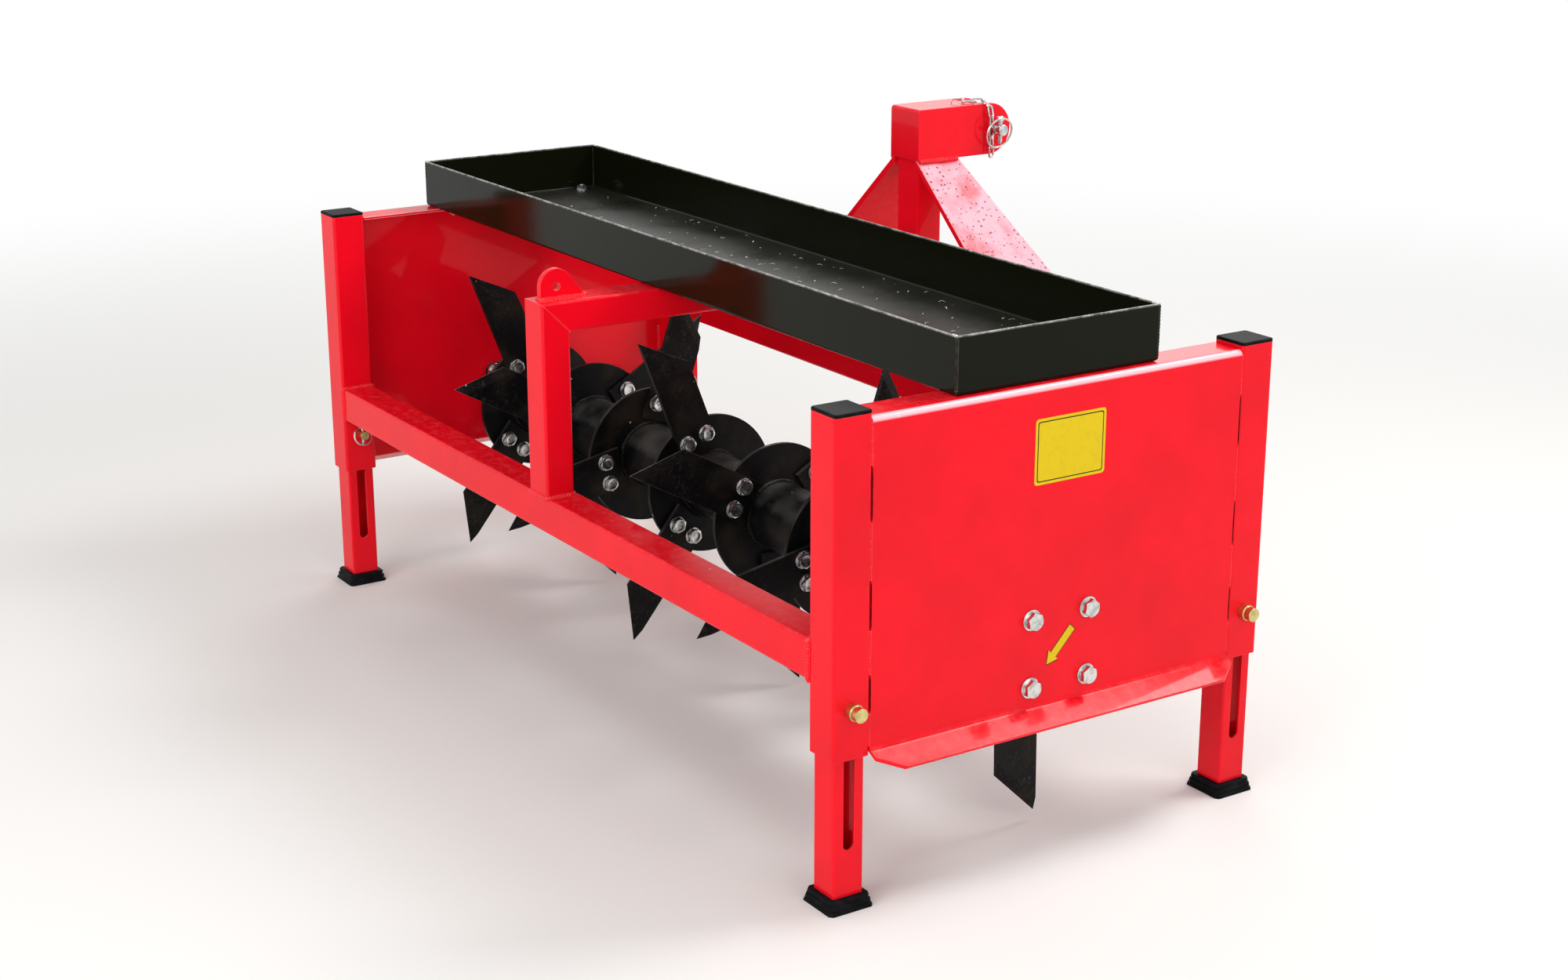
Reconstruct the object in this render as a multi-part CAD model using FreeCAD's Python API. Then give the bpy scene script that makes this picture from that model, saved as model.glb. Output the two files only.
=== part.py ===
import FreeCAD, Part
import math
import os

V = FreeCAD.Vector
X_AXIS = V(1, 0, 0)
Y_AXIS = V(0, 1, 0)
Z_AXIS = V(0, 0, 1)

# Three-point mounted lawn aerator: a weighted frame on four legs with a free-turning bladed rotor.
# All sizes in millimetres. X runs across the machine, Y forward to its hitch, Z is up.
# Local zero of the frame: middle of the width, rear faces of the rear posts, lower ends of the posts.

# rotor
ROTOR_Z = 89.0
TUBE_RADIUS = 57.0
TUBE_WALL = 6.0
TUBE_END_GAP = 10.0         # from the tube's ends to the bearings
TUBE_END_PLATE = 8.0
SHAFT_RADIUS = 20.0
SHAFT_END_GAP = 6.0         # from the journals' ends to the side plates
DISC_COUNT = 8
DISC_RIM = 29.0             # outside the ring of the blade bolts
DISC_THICK = 8.0
END_DISC_INSET = 61.5       # first and last disc from the tube's ends
BLADES_PER_DISC = 3
BLADE_START = -9.0          # degrees, first blade of the first disc
BLADE_STEP = 40.0           # degrees, from disc to disc
BLADE_ROOT_GAP = 5.0        # between tube and blades
BLADE_LENGTH = 238.0
BLADE_WIDE = 74.0
BLADE_SLANT = 74.0          # length taken by the slanting cut at the tip
BLADE_THICK = 8.0
BLADE_EDGE = 16.0           # width of the ground edge along the slanting cut
BLADE_EDGE_THICK = 2.0
BLADE_BOLT_INSET = 31.0     # from the root of the blade
BLADE_BOLT_EDGE = 17.0      # from the long edges of the blade
BLADE_HEX = 13.9            # corner radius of heads and nuts
BLADE_HEAD_HIGH = 10.0
BLADE_NUT_HIGH = 13.0
BLADE_FRAME_GAP = 23.7      # between blade tips and the beams in front and behind
BLADE_DECK_GAP = 36.7       # between blade tips and the spine above
BLADE_FLOOR_GAP = 12.0      # under the lowest blade when the machine stands on its legs

# frame
FRAME_WIDTH = 1680.0        # over the outer faces of the posts
POST_SIZE = 60.0
POST_WALL = 4.0
POST_RISE = 5.0             # of the posts above the deck
REAR_BEAM_LOW = 101.0
FRONT_BEAM_LOW = 216.0
BEAM_SIZE = 60.0
BEAM_WALL = 4.0
TUBE_CORNER = 5.0           # outer corner radius of all square tubes of the frame
UPRIGHT_WIDTH = 60.0
UPRIGHT_DEEP = 50.0
CAP_THICK = 5.0
CAP_CORNER = 3.0
CAP_EDGE = 1.5
CAP_PLUG = 18.0
CAP_PLUG_GAP = 0.2

# side plates
PLATE_THICK = 5.0
PLATE_FLANGE = 60.0
PLATE_BEND = 5.0
SKID_OUT = 38.0
SKID_DROP = 20.0
SKID_FOLD = 8.0
SKID_CORNER_OUT = 25.0
SKID_CORNER_LONG = 38.0

# lifting eye on the spine
EYE_RADIUS = 28.5           # round rear end, about the hole
EYE_UP = 20.0               # spine to the middle of the hole
EYE_FOOT = 80.5
EYE_THICK = 12.0
EYE_HOLE = 7.0
EYE_SETBACK = 11.5

# mast and upper hitch point
MAST_WIDE = 60.0
MAST_DEEP = 50.0
MAST_WALL = 4.0
HEAD_LENGTH = 194.0         # rear plate to the noses of the cheeks
HEAD_LOW = 636.0
HEAD_HIGH = 87.0
HEAD_THICK = 10.0
HEAD_REAR_THICK = 8.0
HEAD_ROOF_LENGTH = 124.0
HEAD_CORNER = 7.0
TOP_PIN_RADIUS = 9.5
TOP_PIN_INSET = 36.0        # from the noses of the cheeks
TOP_PIN_OUT = 30.0
TOP_PIN_HEAD = 15.0
TOP_PIN_HEAD_THICK = 8.0

# lower hitch points
LOWER_SPAN = 683.0          # over the outer faces of the outer lugs
LOWER_PIN_RADIUS = 11.0
LOWER_PIN_FREE = 84.0
LOWER_PIN_PAST = 8.0
LOWER_COLLAR_RADIUS = 18.0
LOWER_COLLAR_THICK = 6.0
LUG_THICK = 12.0
LUG_APART = 58.0
LUG_REACH = 83.0
LUG_ROUND = 30.0

# braces from the mast head down to the front beam, over the outer lugs
BRACE_THICK = 10.0
BRACE_TOP_DROP = 5.7        # below the head, at the outer face of its cheek
BRACE_TOP_WIDE = 85.0
BRACE_LUG_WIDE = 179.0      # where it crosses the outer lug
BRACE_REAR_SET = 7.0        # its rear edge behind the mast tube
BRACE_FOOT_PAST = 90.5      # its foot beyond the outer lug

# ballast tray
TRAY_INSET = 17.0           # from the outer faces of the side plates
TRAY_DEPTH = 358.0
TRAY_HIGH = 84.0
TRAY_SHEET = 3.0
TRAY_BEND = 3.0

# bearings
BEARING_FLANGE_THICK = 14.0
BEARING_CORNER = 16.0
BEARING_WALL = 28.0
BEARING_TAPER = 6.0
BEARING_DEEP = 25.0
BEARING_BORE_GAP = 0.05
BEARING_BOLT_PITCH = 102.0
BEARING_RIM = 14.0          # of the flange outside the bolts
BEARING_HEX = 13.9
BEARING_HEAD_HIGH = 13.0
BEARING_NUT_HIGH = 13.0

# legs
LEG_GAP = 1.0               # to the inner faces of the post
LEG_WALL = 4.0
LEG_CORNER = 4.0
LEG_STOP_GAP = 6.0          # left between foot and post when drawn in
LEG_ABOVE_PIN = 44.0
LEG_PIN_Z = 72.0
LEG_PIN_RADIUS = 8.0
LEG_PIN_HOLE_GAP = 0.1
LEG_SLOT_GAP = 0.8
LEG_PIN_COLLAR = 12.0
LEG_PIN_COLLAR_OUT = 12.0
LEG_PIN_HEAD = 10.5
LEG_PIN_HEAD_OUT = 24.0
LEG_PIN_PAST = 24.0
FOOT_OUT = 7.0              # beyond the faces of the post, at the floor
FOOT_TOP_OUT = 2.0
FOOT_HIGH = 20.0
FOOT_CORNER = 5.0
FOOT_RIBS = 3
FOOT_RIB_HIGH = 4.6
FOOT_GROOVE = 1.6
FOOT_PLUG = 26.0
FOOT_PLUG_GAP = 0.1

CUT_PAST = 40.0             # cutting bodies run this far past what they cut

# places that follow from the sizes above
BLADE_ROOT = TUBE_RADIUS + BLADE_ROOT_GAP
BLADE_TIP = BLADE_ROOT + BLADE_LENGTH
BLADE_BOLT_RING = BLADE_ROOT + BLADE_BOLT_INSET
BLADE_BOLT_SIDE = BLADE_WIDE / 2 - BLADE_BOLT_EDGE
DISC_RADIUS = BLADE_BOLT_RING + DISC_RIM
BLADE_SWEEP = math.hypot(BLADE_TIP, BLADE_WIDE / 2)
FRAME_DEPTH = 2 * (BLADE_SWEEP + BLADE_FRAME_GAP + BEAM_SIZE)
ROTOR_Y = FRAME_DEPTH / 2
DECK_TOP = ROTOR_Z + BLADE_SWEEP + BLADE_DECK_GAP + UPRIGHT_DEEP
POST_TOP = DECK_TOP + POST_RISE
HALF = FRAME_WIDTH / 2
POST_MID = HALF - POST_SIZE / 2
BEAM_HALF = HALF - POST_SIZE
PLATE_INNER = HALF - PLATE_THICK
BEARING_FACE = PLATE_INNER - BEARING_DEEP
TUBE_HALF = BEARING_FACE - TUBE_END_GAP
DISC_PITCH = 2 * (TUBE_HALF - END_DISC_INSET) / (DISC_COUNT - 1)
FRONT_BEAM_REAR = FRAME_DEPTH - BEAM_SIZE
FRONT_BEAM_TOP = FRONT_BEAM_LOW + BEAM_SIZE
MAST_SIDE = MAST_WIDE / 2
MAST_REAR = FRAME_DEPTH - MAST_DEEP
HEAD_TOP = HEAD_LOW + HEAD_HIGH
HEAD_OUTER = MAST_SIDE + HEAD_THICK
HEAD_REAR = MAST_REAR - HEAD_REAR_THICK
HEAD_FRONT = HEAD_REAR + HEAD_LENGTH
LUG_OUTER = LOWER_SPAN / 2
LUG_Y = FRAME_DEPTH + LUG_REACH
LUG_Z = FRONT_BEAM_LOW + LUG_ROUND
BRACE_REAR = MAST_REAR - BRACE_REAR_SET
BRACE_FOOT_X = LUG_OUTER + BRACE_FOOT_PAST
LEG_SIZE = POST_SIZE - 2 * POST_WALL - 2 * LEG_GAP
BASE_Z = BLADE_SWEEP - ROTOR_Z + BLADE_FLOOR_GAP
LEG_DROP = BASE_Z - FOOT_HIGH
LEG_TRAVEL = LEG_DROP - LEG_STOP_GAP
BASE_Y = (FOOT_OUT - HEAD_FRONT) / 2

# name of each corner, its side of the machine and the middle of its post along Y
CORNERS = (("rear_left", -1, POST_SIZE / 2),
           ("rear_right", 1, POST_SIZE / 2),
           ("front_left", -1, FRAME_DEPTH - POST_SIZE / 2),
           ("front_right", 1, FRAME_DEPTH - POST_SIZE / 2))


def box(x0, x1, y0, y1, z0, z1):
    return Part.makeBox(x1 - x0, y1 - y0, z1 - z0, V(x0, y0, z0))


def rod(start, axis, radius, length):
    return Part.makeCylinder(radius, length, V(*start), axis)


def prism(points, push):
    """Closed outline through the points, pushed along a vector."""
    return Part.Face(Part.makePolygon(points + points[:1])).extrude(push)


def turned(stations):
    """Solid turned about X from (place along X, radius) stations."""
    rim = [V(x, radius, 0) for x, radius in stations]
    outline = [V(rim[0].x, 0, 0)] + rim + [V(rim[-1].x, 0, 0)]
    return Part.Face(Part.makePolygon(outline + outline[:1])).revolve(V(0, 0, 0), X_AXIS, 360)


def hexagon(start, radius, high):
    """Hexagonal prism along X from a point, towards +X or, with a negative height, towards -X."""
    corners = [math.radians(60 * i + 30) for i in range(6)]
    points = [V(*start) + V(0, radius * math.cos(a), radius * math.sin(a)) for a in corners]
    return prism(points, V(high, 0, 0))


def mirrored(shape):
    return shape.mirror(V(0, 0, 0), X_AXIS)


def save(name, *shapes):
    """Write one node, moved so that zero is on the floor under the middle of the whole machine."""
    solids = [solid for shape in shapes for solid in shape.Solids]
    shape = solids[0] if len(solids) == 1 else Part.makeCompound(solids)
    shape = shape.copy()
    shape.translate(V(0, BASE_Y, BASE_Z))
    shape.exportStep("parts/%s.step" % name)


def save_pair(name, *shapes):
    """Write the right-hand node and its mirrored left-hand one."""
    save(name + "_right", *shapes)
    save(name + "_left", *[mirrored(shape) for shape in shapes])


def edges_along(shape, axis):
    """Straight edges that run along an axis."""
    found = []
    for edge in shape.Edges:
        if edge.Curve.TypeId == "Part::GeomLine":
            run = (edge.Vertexes[-1].Point - edge.Vertexes[0].Point).normalize()
            if abs(abs(run.dot(axis)) - 1.0) < 1e-6:
                found.append(edge)
    return found


def edges_at_height(shape, z):
    return [e for e in shape.Edges if all(abs(v.Z - z) < 0.01 for v in e.Vertexes)]


def edges_through(shape, axis, place):
    """Edges along an axis that pass through a place."""
    found = []
    for edge in edges_along(shape, axis):
        gap = edge.Vertexes[0].Point - place
        if (gap - axis * gap.dot(axis)).Length < 0.05:
            found.append(edge)
    return found


def square_tube(size_a, size_b, wall, length, corner):
    """Box tube along Z with rounded outer corners, its section centred on zero."""
    outer = box(-size_a / 2, size_a / 2, -size_b / 2, size_b / 2, 0, length)
    outer = outer.makeFillet(corner, edges_along(outer, Z_AXIS))
    a, b = size_a / 2 - wall, size_b / 2 - wall
    return outer.cut(box(-a, a, -b, b, -CUT_PAST, length + CUT_PAST))


def folded_sheet(line, thick, bend, y0, y1):
    """Sheet folded along Y: its outer face follows a line in XZ, its thickness lies left of it."""
    inner = []
    for i, point in enumerate(line):
        before = [(point - line[i - 1]).normalize()] if i > 0 else []
        after = [(line[i + 1] - point).normalize()] if i < len(line) - 1 else []
        sides = [V(-run.z, 0, run.x) for run in before + after]
        middle = V(*[sum(parts) for parts in zip(*[(s.x, s.y, s.z) for s in sides])]).normalize()
        inner.append(point + middle * (thick / middle.dot(sides[0])))
    body = prism([V(p.x, y0, p.z) for p in line + inner[::-1]], V(0, y1 - y0, 0))
    for outer_corner, inner_corner in zip(line[1:-1], inner[1:-1]):
        body = body.makeFillet(bend + thick, edges_through(body, Y_AXIS, outer_corner))
        body = body.makeFillet(bend, edges_through(body, Y_AXIS, inner_corner))
    return body


def make_posts():
    hole = LEG_PIN_RADIUS + LEG_PIN_HOLE_GAP
    for name, side, y in CORNERS:
        post = square_tube(POST_SIZE, POST_SIZE, POST_WALL, POST_TOP, TUBE_CORNER)
        post.translate(V(side * POST_MID, y, 0))
        save("post_" + name, post.cut(rod((side * POST_MID - POST_SIZE, y, LEG_PIN_Z), X_AXIS, hole,
                                          2 * POST_SIZE)))


def make_post_caps():
    """Flat plastic caps with a square plug inside each post."""
    half = POST_SIZE / 2
    plug = half - POST_WALL - CAP_PLUG_GAP
    caps = []
    for name, side, y in CORNERS:
        cap = box(-half, half, -half, half, POST_TOP, POST_TOP + CAP_THICK)
        cap = cap.makeChamfer(CAP_CORNER, edges_along(cap, Z_AXIS))
        cap = cap.makeChamfer(CAP_EDGE, edges_at_height(cap, POST_TOP + CAP_THICK))
        cap = cap.fuse(box(-plug, plug, -plug, plug, POST_TOP - CAP_PLUG, POST_TOP))
        cap.translate(V(side * POST_MID, y, 0))
        caps.append(cap)
    save("post_caps", *caps)


def make_legs():
    """Square tubes that slide in the posts, each with a long slot for its pin."""
    slot = LEG_PIN_RADIUS + LEG_SLOT_GAP
    slot_low = LEG_PIN_Z - LEG_TRAVEL
    length = LEG_DROP + LEG_PIN_Z + LEG_ABOVE_PIN
    cutter = box(-LEG_SIZE, LEG_SIZE, -slot, slot, slot_low, LEG_PIN_Z)
    for z in (slot_low, LEG_PIN_Z):
        cutter = cutter.fuse(rod((-LEG_SIZE, 0, z), X_AXIS, slot, 2 * LEG_SIZE))
    for name, side, y in CORNERS:
        leg = square_tube(LEG_SIZE, LEG_SIZE, LEG_WALL, length, LEG_CORNER)
        leg.translate(V(0, 0, -LEG_DROP))
        leg = leg.cut(cutter)
        leg.translate(V(side * POST_MID, y, 0))
        save("leg_" + name, leg)


def tapered_pad(low, high, inset):
    """Slice of the foot's taper between two heights above the floor, its corners cut."""
    wires = []
    for z in (low, high):
        out = FOOT_OUT + (FOOT_TOP_OUT - FOOT_OUT) * z / FOOT_HIGH
        h = POST_SIZE / 2 + out - inset
        c = h - FOOT_CORNER
        points = [V(-c, -h, z), V(c, -h, z), V(h, -c, z), V(h, c, z),
                  V(c, h, z), V(-c, h, z), V(-h, c, z), V(-h, -c, z)]
        wires.append(Part.makePolygon(points + points[:1]))
    return Part.makeLoft(wires, True, True)


def make_feet():
    """Black plastic feet with three ribs round their sides and a plug inside the leg."""
    foot = tapered_pad(0, FOOT_HIGH, FOOT_GROOVE)
    step = (FOOT_HIGH - FOOT_RIB_HIGH) / (FOOT_RIBS - 1)
    for i in range(FOOT_RIBS):
        foot = foot.fuse(tapered_pad(i * step, i * step + FOOT_RIB_HIGH, 0))
    plug = LEG_SIZE / 2 - LEG_WALL - FOOT_PLUG_GAP
    foot = foot.fuse(box(-plug, plug, -plug, plug, FOOT_HIGH, FOOT_HIGH + FOOT_PLUG))
    for name, side, y in CORNERS:
        placed = foot.copy()
        placed.translate(V(side * POST_MID, y, -BASE_Z))
        save("foot_" + name, placed)


def make_leg_pins():
    """Pins through posts and legs, each with a collar and a stepped head outside."""
    pin = turned(((-POST_SIZE - LEG_PIN_PAST, LEG_PIN_RADIUS), (0, LEG_PIN_RADIUS),
                  (0, LEG_PIN_COLLAR), (LEG_PIN_COLLAR_OUT, LEG_PIN_COLLAR),
                  (LEG_PIN_COLLAR_OUT, LEG_PIN_HEAD), (LEG_PIN_HEAD_OUT, LEG_PIN_HEAD)))
    pins = []
    for name, side, y in CORNERS:
        placed = pin.copy()
        placed.translate(V(HALF, y, LEG_PIN_Z))
        pins.append(placed if side > 0 else mirrored(placed))
    save("leg_pins", *pins)


def make_side_plates():
    """Plates between the posts, folded in under the tray and out to a skid at the lower edge."""
    y0, y1 = POST_SIZE, FRAME_DEPTH - POST_SIZE
    line = [V(HALF + SKID_OUT, 0, SKID_FOLD - SKID_DROP), V(HALF, 0, SKID_FOLD),
            V(HALF, 0, DECK_TOP), V(HALF - PLATE_FLANGE, 0, DECK_TOP)]
    plate = folded_sheet(line, PLATE_THICK, PLATE_BEND, y0, y1)
    lip = HALF + SKID_OUT
    for y, way in ((y0, 1), (y1, -1)):
        corner = [V(lip, y, -CUT_PAST), V(lip, y + way * SKID_CORNER_LONG, -CUT_PAST),
                  V(lip - SKID_CORNER_OUT, y, -CUT_PAST)]
        plate = plate.cut(prism(corner, V(0, 0, 2 * CUT_PAST)))
    save_pair("side_plate", plate)


def bearing_bolt_places():
    p = BEARING_BOLT_PITCH / 2
    return [(ROTOR_Y + a * p, ROTOR_Z + b * p) for a in (-1, 1) for b in (-1, 1)]


def make_bearings():
    """Square flange bearings inside the side plates. Their bolts' shanks are closed in and left out."""
    f = BEARING_BOLT_PITCH / 2 + BEARING_RIM
    flange_face = PLATE_INNER - BEARING_FLANGE_THICK
    house = box(flange_face, PLATE_INNER, ROTOR_Y - f, ROTOR_Y + f, ROTOR_Z - f, ROTOR_Z + f)
    house = house.makeFillet(BEARING_CORNER, edges_along(house, X_AXIS))
    boss = SHAFT_RADIUS + BEARING_WALL
    house = house.fuse(Part.makeCone(boss, boss - BEARING_TAPER, BEARING_DEEP,
                                     V(PLATE_INNER, ROTOR_Y, ROTOR_Z), -X_AXIS))
    house = house.cut(rod((BEARING_FACE - CUT_PAST, ROTOR_Y, ROTOR_Z), X_AXIS,
                          SHAFT_RADIUS + BEARING_BORE_GAP, BEARING_DEEP + 2 * CUT_PAST))
    save_pair("bearing", house)
    bolts = []
    for y, z in bearing_bolt_places():
        bolts.append(hexagon((HALF, y, z), BEARING_HEX, BEARING_HEAD_HIGH))
        bolts.append(hexagon((flange_face, y, z), BEARING_HEX, -BEARING_NUT_HIGH))
    save("bearing_bolts", *(bolts + [mirrored(bolt) for bolt in bolts]))


def make_beams():
    for name, y0, z0 in (("rear_beam", 0, REAR_BEAM_LOW), ("front_beam", FRONT_BEAM_REAR, FRONT_BEAM_LOW)):
        beam = square_tube(BEAM_SIZE, BEAM_SIZE, BEAM_WALL, 2 * BEAM_HALF, TUBE_CORNER)
        beam.rotate(V(0, 0, 0), Y_AXIS, 90)
        beam.translate(V(-BEAM_HALF, y0 + BEAM_SIZE / 2, z0 + BEAM_SIZE / 2))
        save(name, beam)


def make_upright_and_spine():
    """Upright on the rear beam, mitred at the top to the spine that runs forward to the mast."""
    low = REAR_BEAM_LOW + BEAM_SIZE
    reach = FRAME_DEPTH + CUT_PAST
    above_mitre = prism([V(-UPRIGHT_WIDTH, -reach, DECK_TOP + reach),
                         V(-UPRIGHT_WIDTH, reach, DECK_TOP - reach),
                         V(-UPRIGHT_WIDTH, reach, DECK_TOP + reach)], V(2 * UPRIGHT_WIDTH, 0, 0))
    upright = square_tube(UPRIGHT_WIDTH, UPRIGHT_DEEP, BEAM_WALL, DECK_TOP - low, TUBE_CORNER)
    upright.translate(V(0, UPRIGHT_DEEP / 2, low))
    save("rear_upright", upright.cut(above_mitre))
    spine = square_tube(UPRIGHT_WIDTH, UPRIGHT_DEEP, BEAM_WALL, MAST_REAR, TUBE_CORNER)
    spine.rotate(V(0, 0, 0), X_AXIS, -90)
    spine.translate(V(0, 0, DECK_TOP - UPRIGHT_DEEP / 2))
    save("top_spine", spine.common(above_mitre))


def make_lifting_eye():
    """Ear plate on the rear end of the spine, round about its hole and sloping down to the front."""
    middle = V(-EYE_THICK / 2, EYE_SETBACK + EYE_RADIUS, DECK_TOP + EYE_UP)
    heel = V(middle.x, EYE_SETBACK, DECK_TOP)
    toe = heel + V(0, EYE_FOOT, 0)
    reach = toe - middle
    lean = math.atan2(reach.z, reach.y) + math.acos(EYE_RADIUS / reach.Length)
    rear = middle - V(0, EYE_RADIUS, 0)
    over = middle + V(0, 0, EYE_RADIUS)
    slope = middle + V(0, EYE_RADIUS * math.cos(lean), EYE_RADIUS * math.sin(lean))
    rim = [Part.makeLine(heel, rear), Part.Arc(rear, over, slope).toShape(), Part.makeLine(slope, toe),
           Part.makeLine(toe, heel)]
    ear = Part.Face(Part.Wire(rim)).extrude(V(EYE_THICK, 0, 0))
    start = (middle.x - CUT_PAST, middle.y, middle.z)
    save("lifting_eye", ear.cut(rod(start, X_AXIS, EYE_HOLE, EYE_THICK + 2 * CUT_PAST)))


def make_mast():
    """Mast tube on the front beam, the bracket round its top and the upper hitch pin."""
    tube = square_tube(MAST_WIDE, MAST_DEEP, MAST_WALL, HEAD_TOP - HEAD_THICK - FRONT_BEAM_TOP, TUBE_CORNER)
    tube.translate(V(0, MAST_REAR + MAST_DEEP / 2, FRONT_BEAM_TOP))
    save("mast_tube", tube)
    nose = HEAD_HIGH / 2
    pin_y, pin_z = HEAD_FRONT - TOP_PIN_INSET, HEAD_LOW + nose
    cheek = box(MAST_SIDE, HEAD_OUTER, HEAD_REAR, HEAD_FRONT - nose, HEAD_LOW, HEAD_TOP)
    cheek = cheek.fuse(rod((MAST_SIDE, HEAD_FRONT - nose, pin_z), X_AXIS, nose, HEAD_THICK))
    cheek = cheek.cut(rod((0, pin_y, pin_z), X_AXIS, TOP_PIN_RADIUS, HEAD_OUTER + CUT_PAST))
    roof = box(-MAST_SIDE, MAST_SIDE, HEAD_REAR, HEAD_REAR + HEAD_ROOF_LENGTH,
               HEAD_TOP - HEAD_THICK, HEAD_TOP)
    rear = box(-MAST_SIDE, MAST_SIDE, HEAD_REAR, MAST_REAR, HEAD_LOW, HEAD_TOP - HEAD_THICK)
    head = cheek.fuse([mirrored(cheek), roof, rear]).removeSplitter()
    save("mast_head", head.makeFillet(HEAD_CORNER, edges_through(head, X_AXIS, V(0, HEAD_REAR, HEAD_TOP))))
    pin = turned(((-HEAD_OUTER - TOP_PIN_HEAD_THICK, TOP_PIN_HEAD), (-HEAD_OUTER, TOP_PIN_HEAD),
                  (-HEAD_OUTER, TOP_PIN_RADIUS), (HEAD_OUTER + TOP_PIN_OUT, TOP_PIN_RADIUS)))
    pin.translate(V(0, pin_y, pin_z))
    save("top_link_pin", pin)


def brace_slab(above, below):
    """Slanting slab round the upper face of the right-hand brace, from its head end to its foot."""
    head = V(HEAD_OUTER, 0, HEAD_LOW - BRACE_TOP_DROP)
    foot = V(BRACE_FOOT_X, 0, FRONT_BEAM_TOP)
    run = (foot - head).normalize()
    up = V(-run.z, 0, run.x)
    head, foot = head - run * CUT_PAST, foot + run * CUT_PAST
    section = [head + up * above, foot + up * above, foot - up * below, head - up * below]
    return prism(section, V(0, HEAD_FRONT + CUT_PAST, 0))


def make_braces():
    """Flat braces, widening from the mast head to the outer lugs and tapering to the front beam."""
    plan = [V(MAST_SIDE, BRACE_REAR, FRONT_BEAM_TOP),
            V(MAST_SIDE, BRACE_REAR + BRACE_TOP_WIDE, FRONT_BEAM_TOP),
            V(LUG_OUTER, BRACE_REAR + BRACE_LUG_WIDE, FRONT_BEAM_TOP),
            V(BRACE_FOOT_X, FRAME_DEPTH, FRONT_BEAM_TOP),
            V(BRACE_FOOT_X, BRACE_REAR, FRONT_BEAM_TOP)]
    outline = prism(plan, V(0, 0, HEAD_LOW - FRONT_BEAM_TOP))
    save_pair("brace", brace_slab(0, BRACE_THICK).common(outline))


def make_lower_hitch():
    """Two lugs and a pin on each side; the outer lug rises to the underside of the brace."""
    lugs = []
    for x, top in ((LUG_OUTER, HEAD_LOW), (LUG_OUTER - LUG_THICK - LUG_APART, LUG_Z + LUG_ROUND)):
        lug = box(x - LUG_THICK, x, FRAME_DEPTH, LUG_Y, FRONT_BEAM_LOW, top)
        lug = lug.fuse(rod((x - LUG_THICK, LUG_Y, LUG_Z), X_AXIS, LUG_ROUND, LUG_THICK))
        if top > LUG_Z + LUG_ROUND:
            lug = lug.fuse(box(x - LUG_THICK, x, LUG_Y, LUG_Y + LUG_ROUND, LUG_Z, top))
            lug = lug.cut(brace_slab(HEAD_TOP, BRACE_THICK))
        lug = lug.removeSplitter()
        lugs.append(lug.cut(rod((x - LUG_THICK - CUT_PAST, LUG_Y, LUG_Z), X_AXIS, LOWER_PIN_RADIUS,
                                LUG_THICK + 2 * CUT_PAST)))
    save_pair("hitch_lugs", *lugs)
    inner_end = LUG_OUTER - 2 * LUG_THICK - LUG_APART - LOWER_PIN_PAST
    collar_end = LUG_OUTER + LOWER_COLLAR_THICK
    pin = turned(((inner_end, LOWER_PIN_RADIUS), (LUG_OUTER, LOWER_PIN_RADIUS),
                  (LUG_OUTER, LOWER_COLLAR_RADIUS), (collar_end, LOWER_COLLAR_RADIUS),
                  (collar_end, LOWER_PIN_RADIUS), (LUG_OUTER + LOWER_PIN_FREE, LOWER_PIN_RADIUS)))
    pin.translate(V(0, LUG_Y, LUG_Z))
    save_pair("hitch_pin", pin)


def make_tray():
    """Open sheet tray for ballast, lying on the spine and on the flanges of the side plates."""
    half, t = HALF - TRAY_INSET, TRAY_SHEET
    y0, y1 = ROTOR_Y - TRAY_DEPTH / 2, ROTOR_Y + TRAY_DEPTH / 2
    outer = box(-half, half, y0, y1, DECK_TOP, DECK_TOP + TRAY_HIGH)
    outer = outer.makeFillet(TRAY_BEND + t, edges_at_height(outer, DECK_TOP))
    inner = box(-half + t, half - t, y0 + t, y1 - t, DECK_TOP + t, DECK_TOP + TRAY_HIGH + CUT_PAST)
    inner = inner.makeFillet(TRAY_BEND, edges_at_height(inner, DECK_TOP + t))
    save("ballast_tray", outer.cut(inner))


def on_rotor(shape, x, angle):
    """Copy of a shape made about the X axis, turned and set at its place along the rotor."""
    placed = shape.copy()
    placed.rotate(V(0, 0, 0), X_AXIS, angle)
    placed.translate(V(x, ROTOR_Y, ROTOR_Z))
    return placed


def blade_shape():
    """Flat knife pointing along +Y with its lower face at zero: slanting cut, ground along the cut."""
    half = BLADE_WIDE / 2
    heel, tip = V(0, BLADE_TIP - BLADE_SLANT, -half), V(0, BLADE_TIP, half)
    blade = prism([V(0, BLADE_ROOT, -half), heel, tip, V(0, BLADE_ROOT, half)], V(BLADE_THICK, 0, 0))
    along = (tip - heel).normalize()
    inward = V(0, -along.z, along.y)
    ground = V(BLADE_THICK - BLADE_EDGE_THICK, 0, 0)
    slope = ground + inward * BLADE_EDGE
    at_edge = heel - along * CUT_PAST + V(BLADE_EDGE_THICK, 0, 0)
    wedge = [at_edge - slope, at_edge + slope * 2, at_edge - slope + ground * 3]
    return blade.cut(prism(wedge, along * (BLADE_SLANT + BLADE_WIDE + 2 * CUT_PAST)))


def blade_bolt_shapes():
    """Heads on the blade and nuts behind the disc. The shanks are closed in and left out."""
    shapes = []
    for z in (-BLADE_BOLT_SIDE, BLADE_BOLT_SIDE):
        shapes.append(hexagon((BLADE_THICK, BLADE_BOLT_RING, z), BLADE_HEX, BLADE_HEAD_HIGH))
        shapes.append(hexagon((-DISC_THICK, BLADE_BOLT_RING, z), BLADE_HEX, -BLADE_NUT_HIGH))
    return shapes


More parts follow.
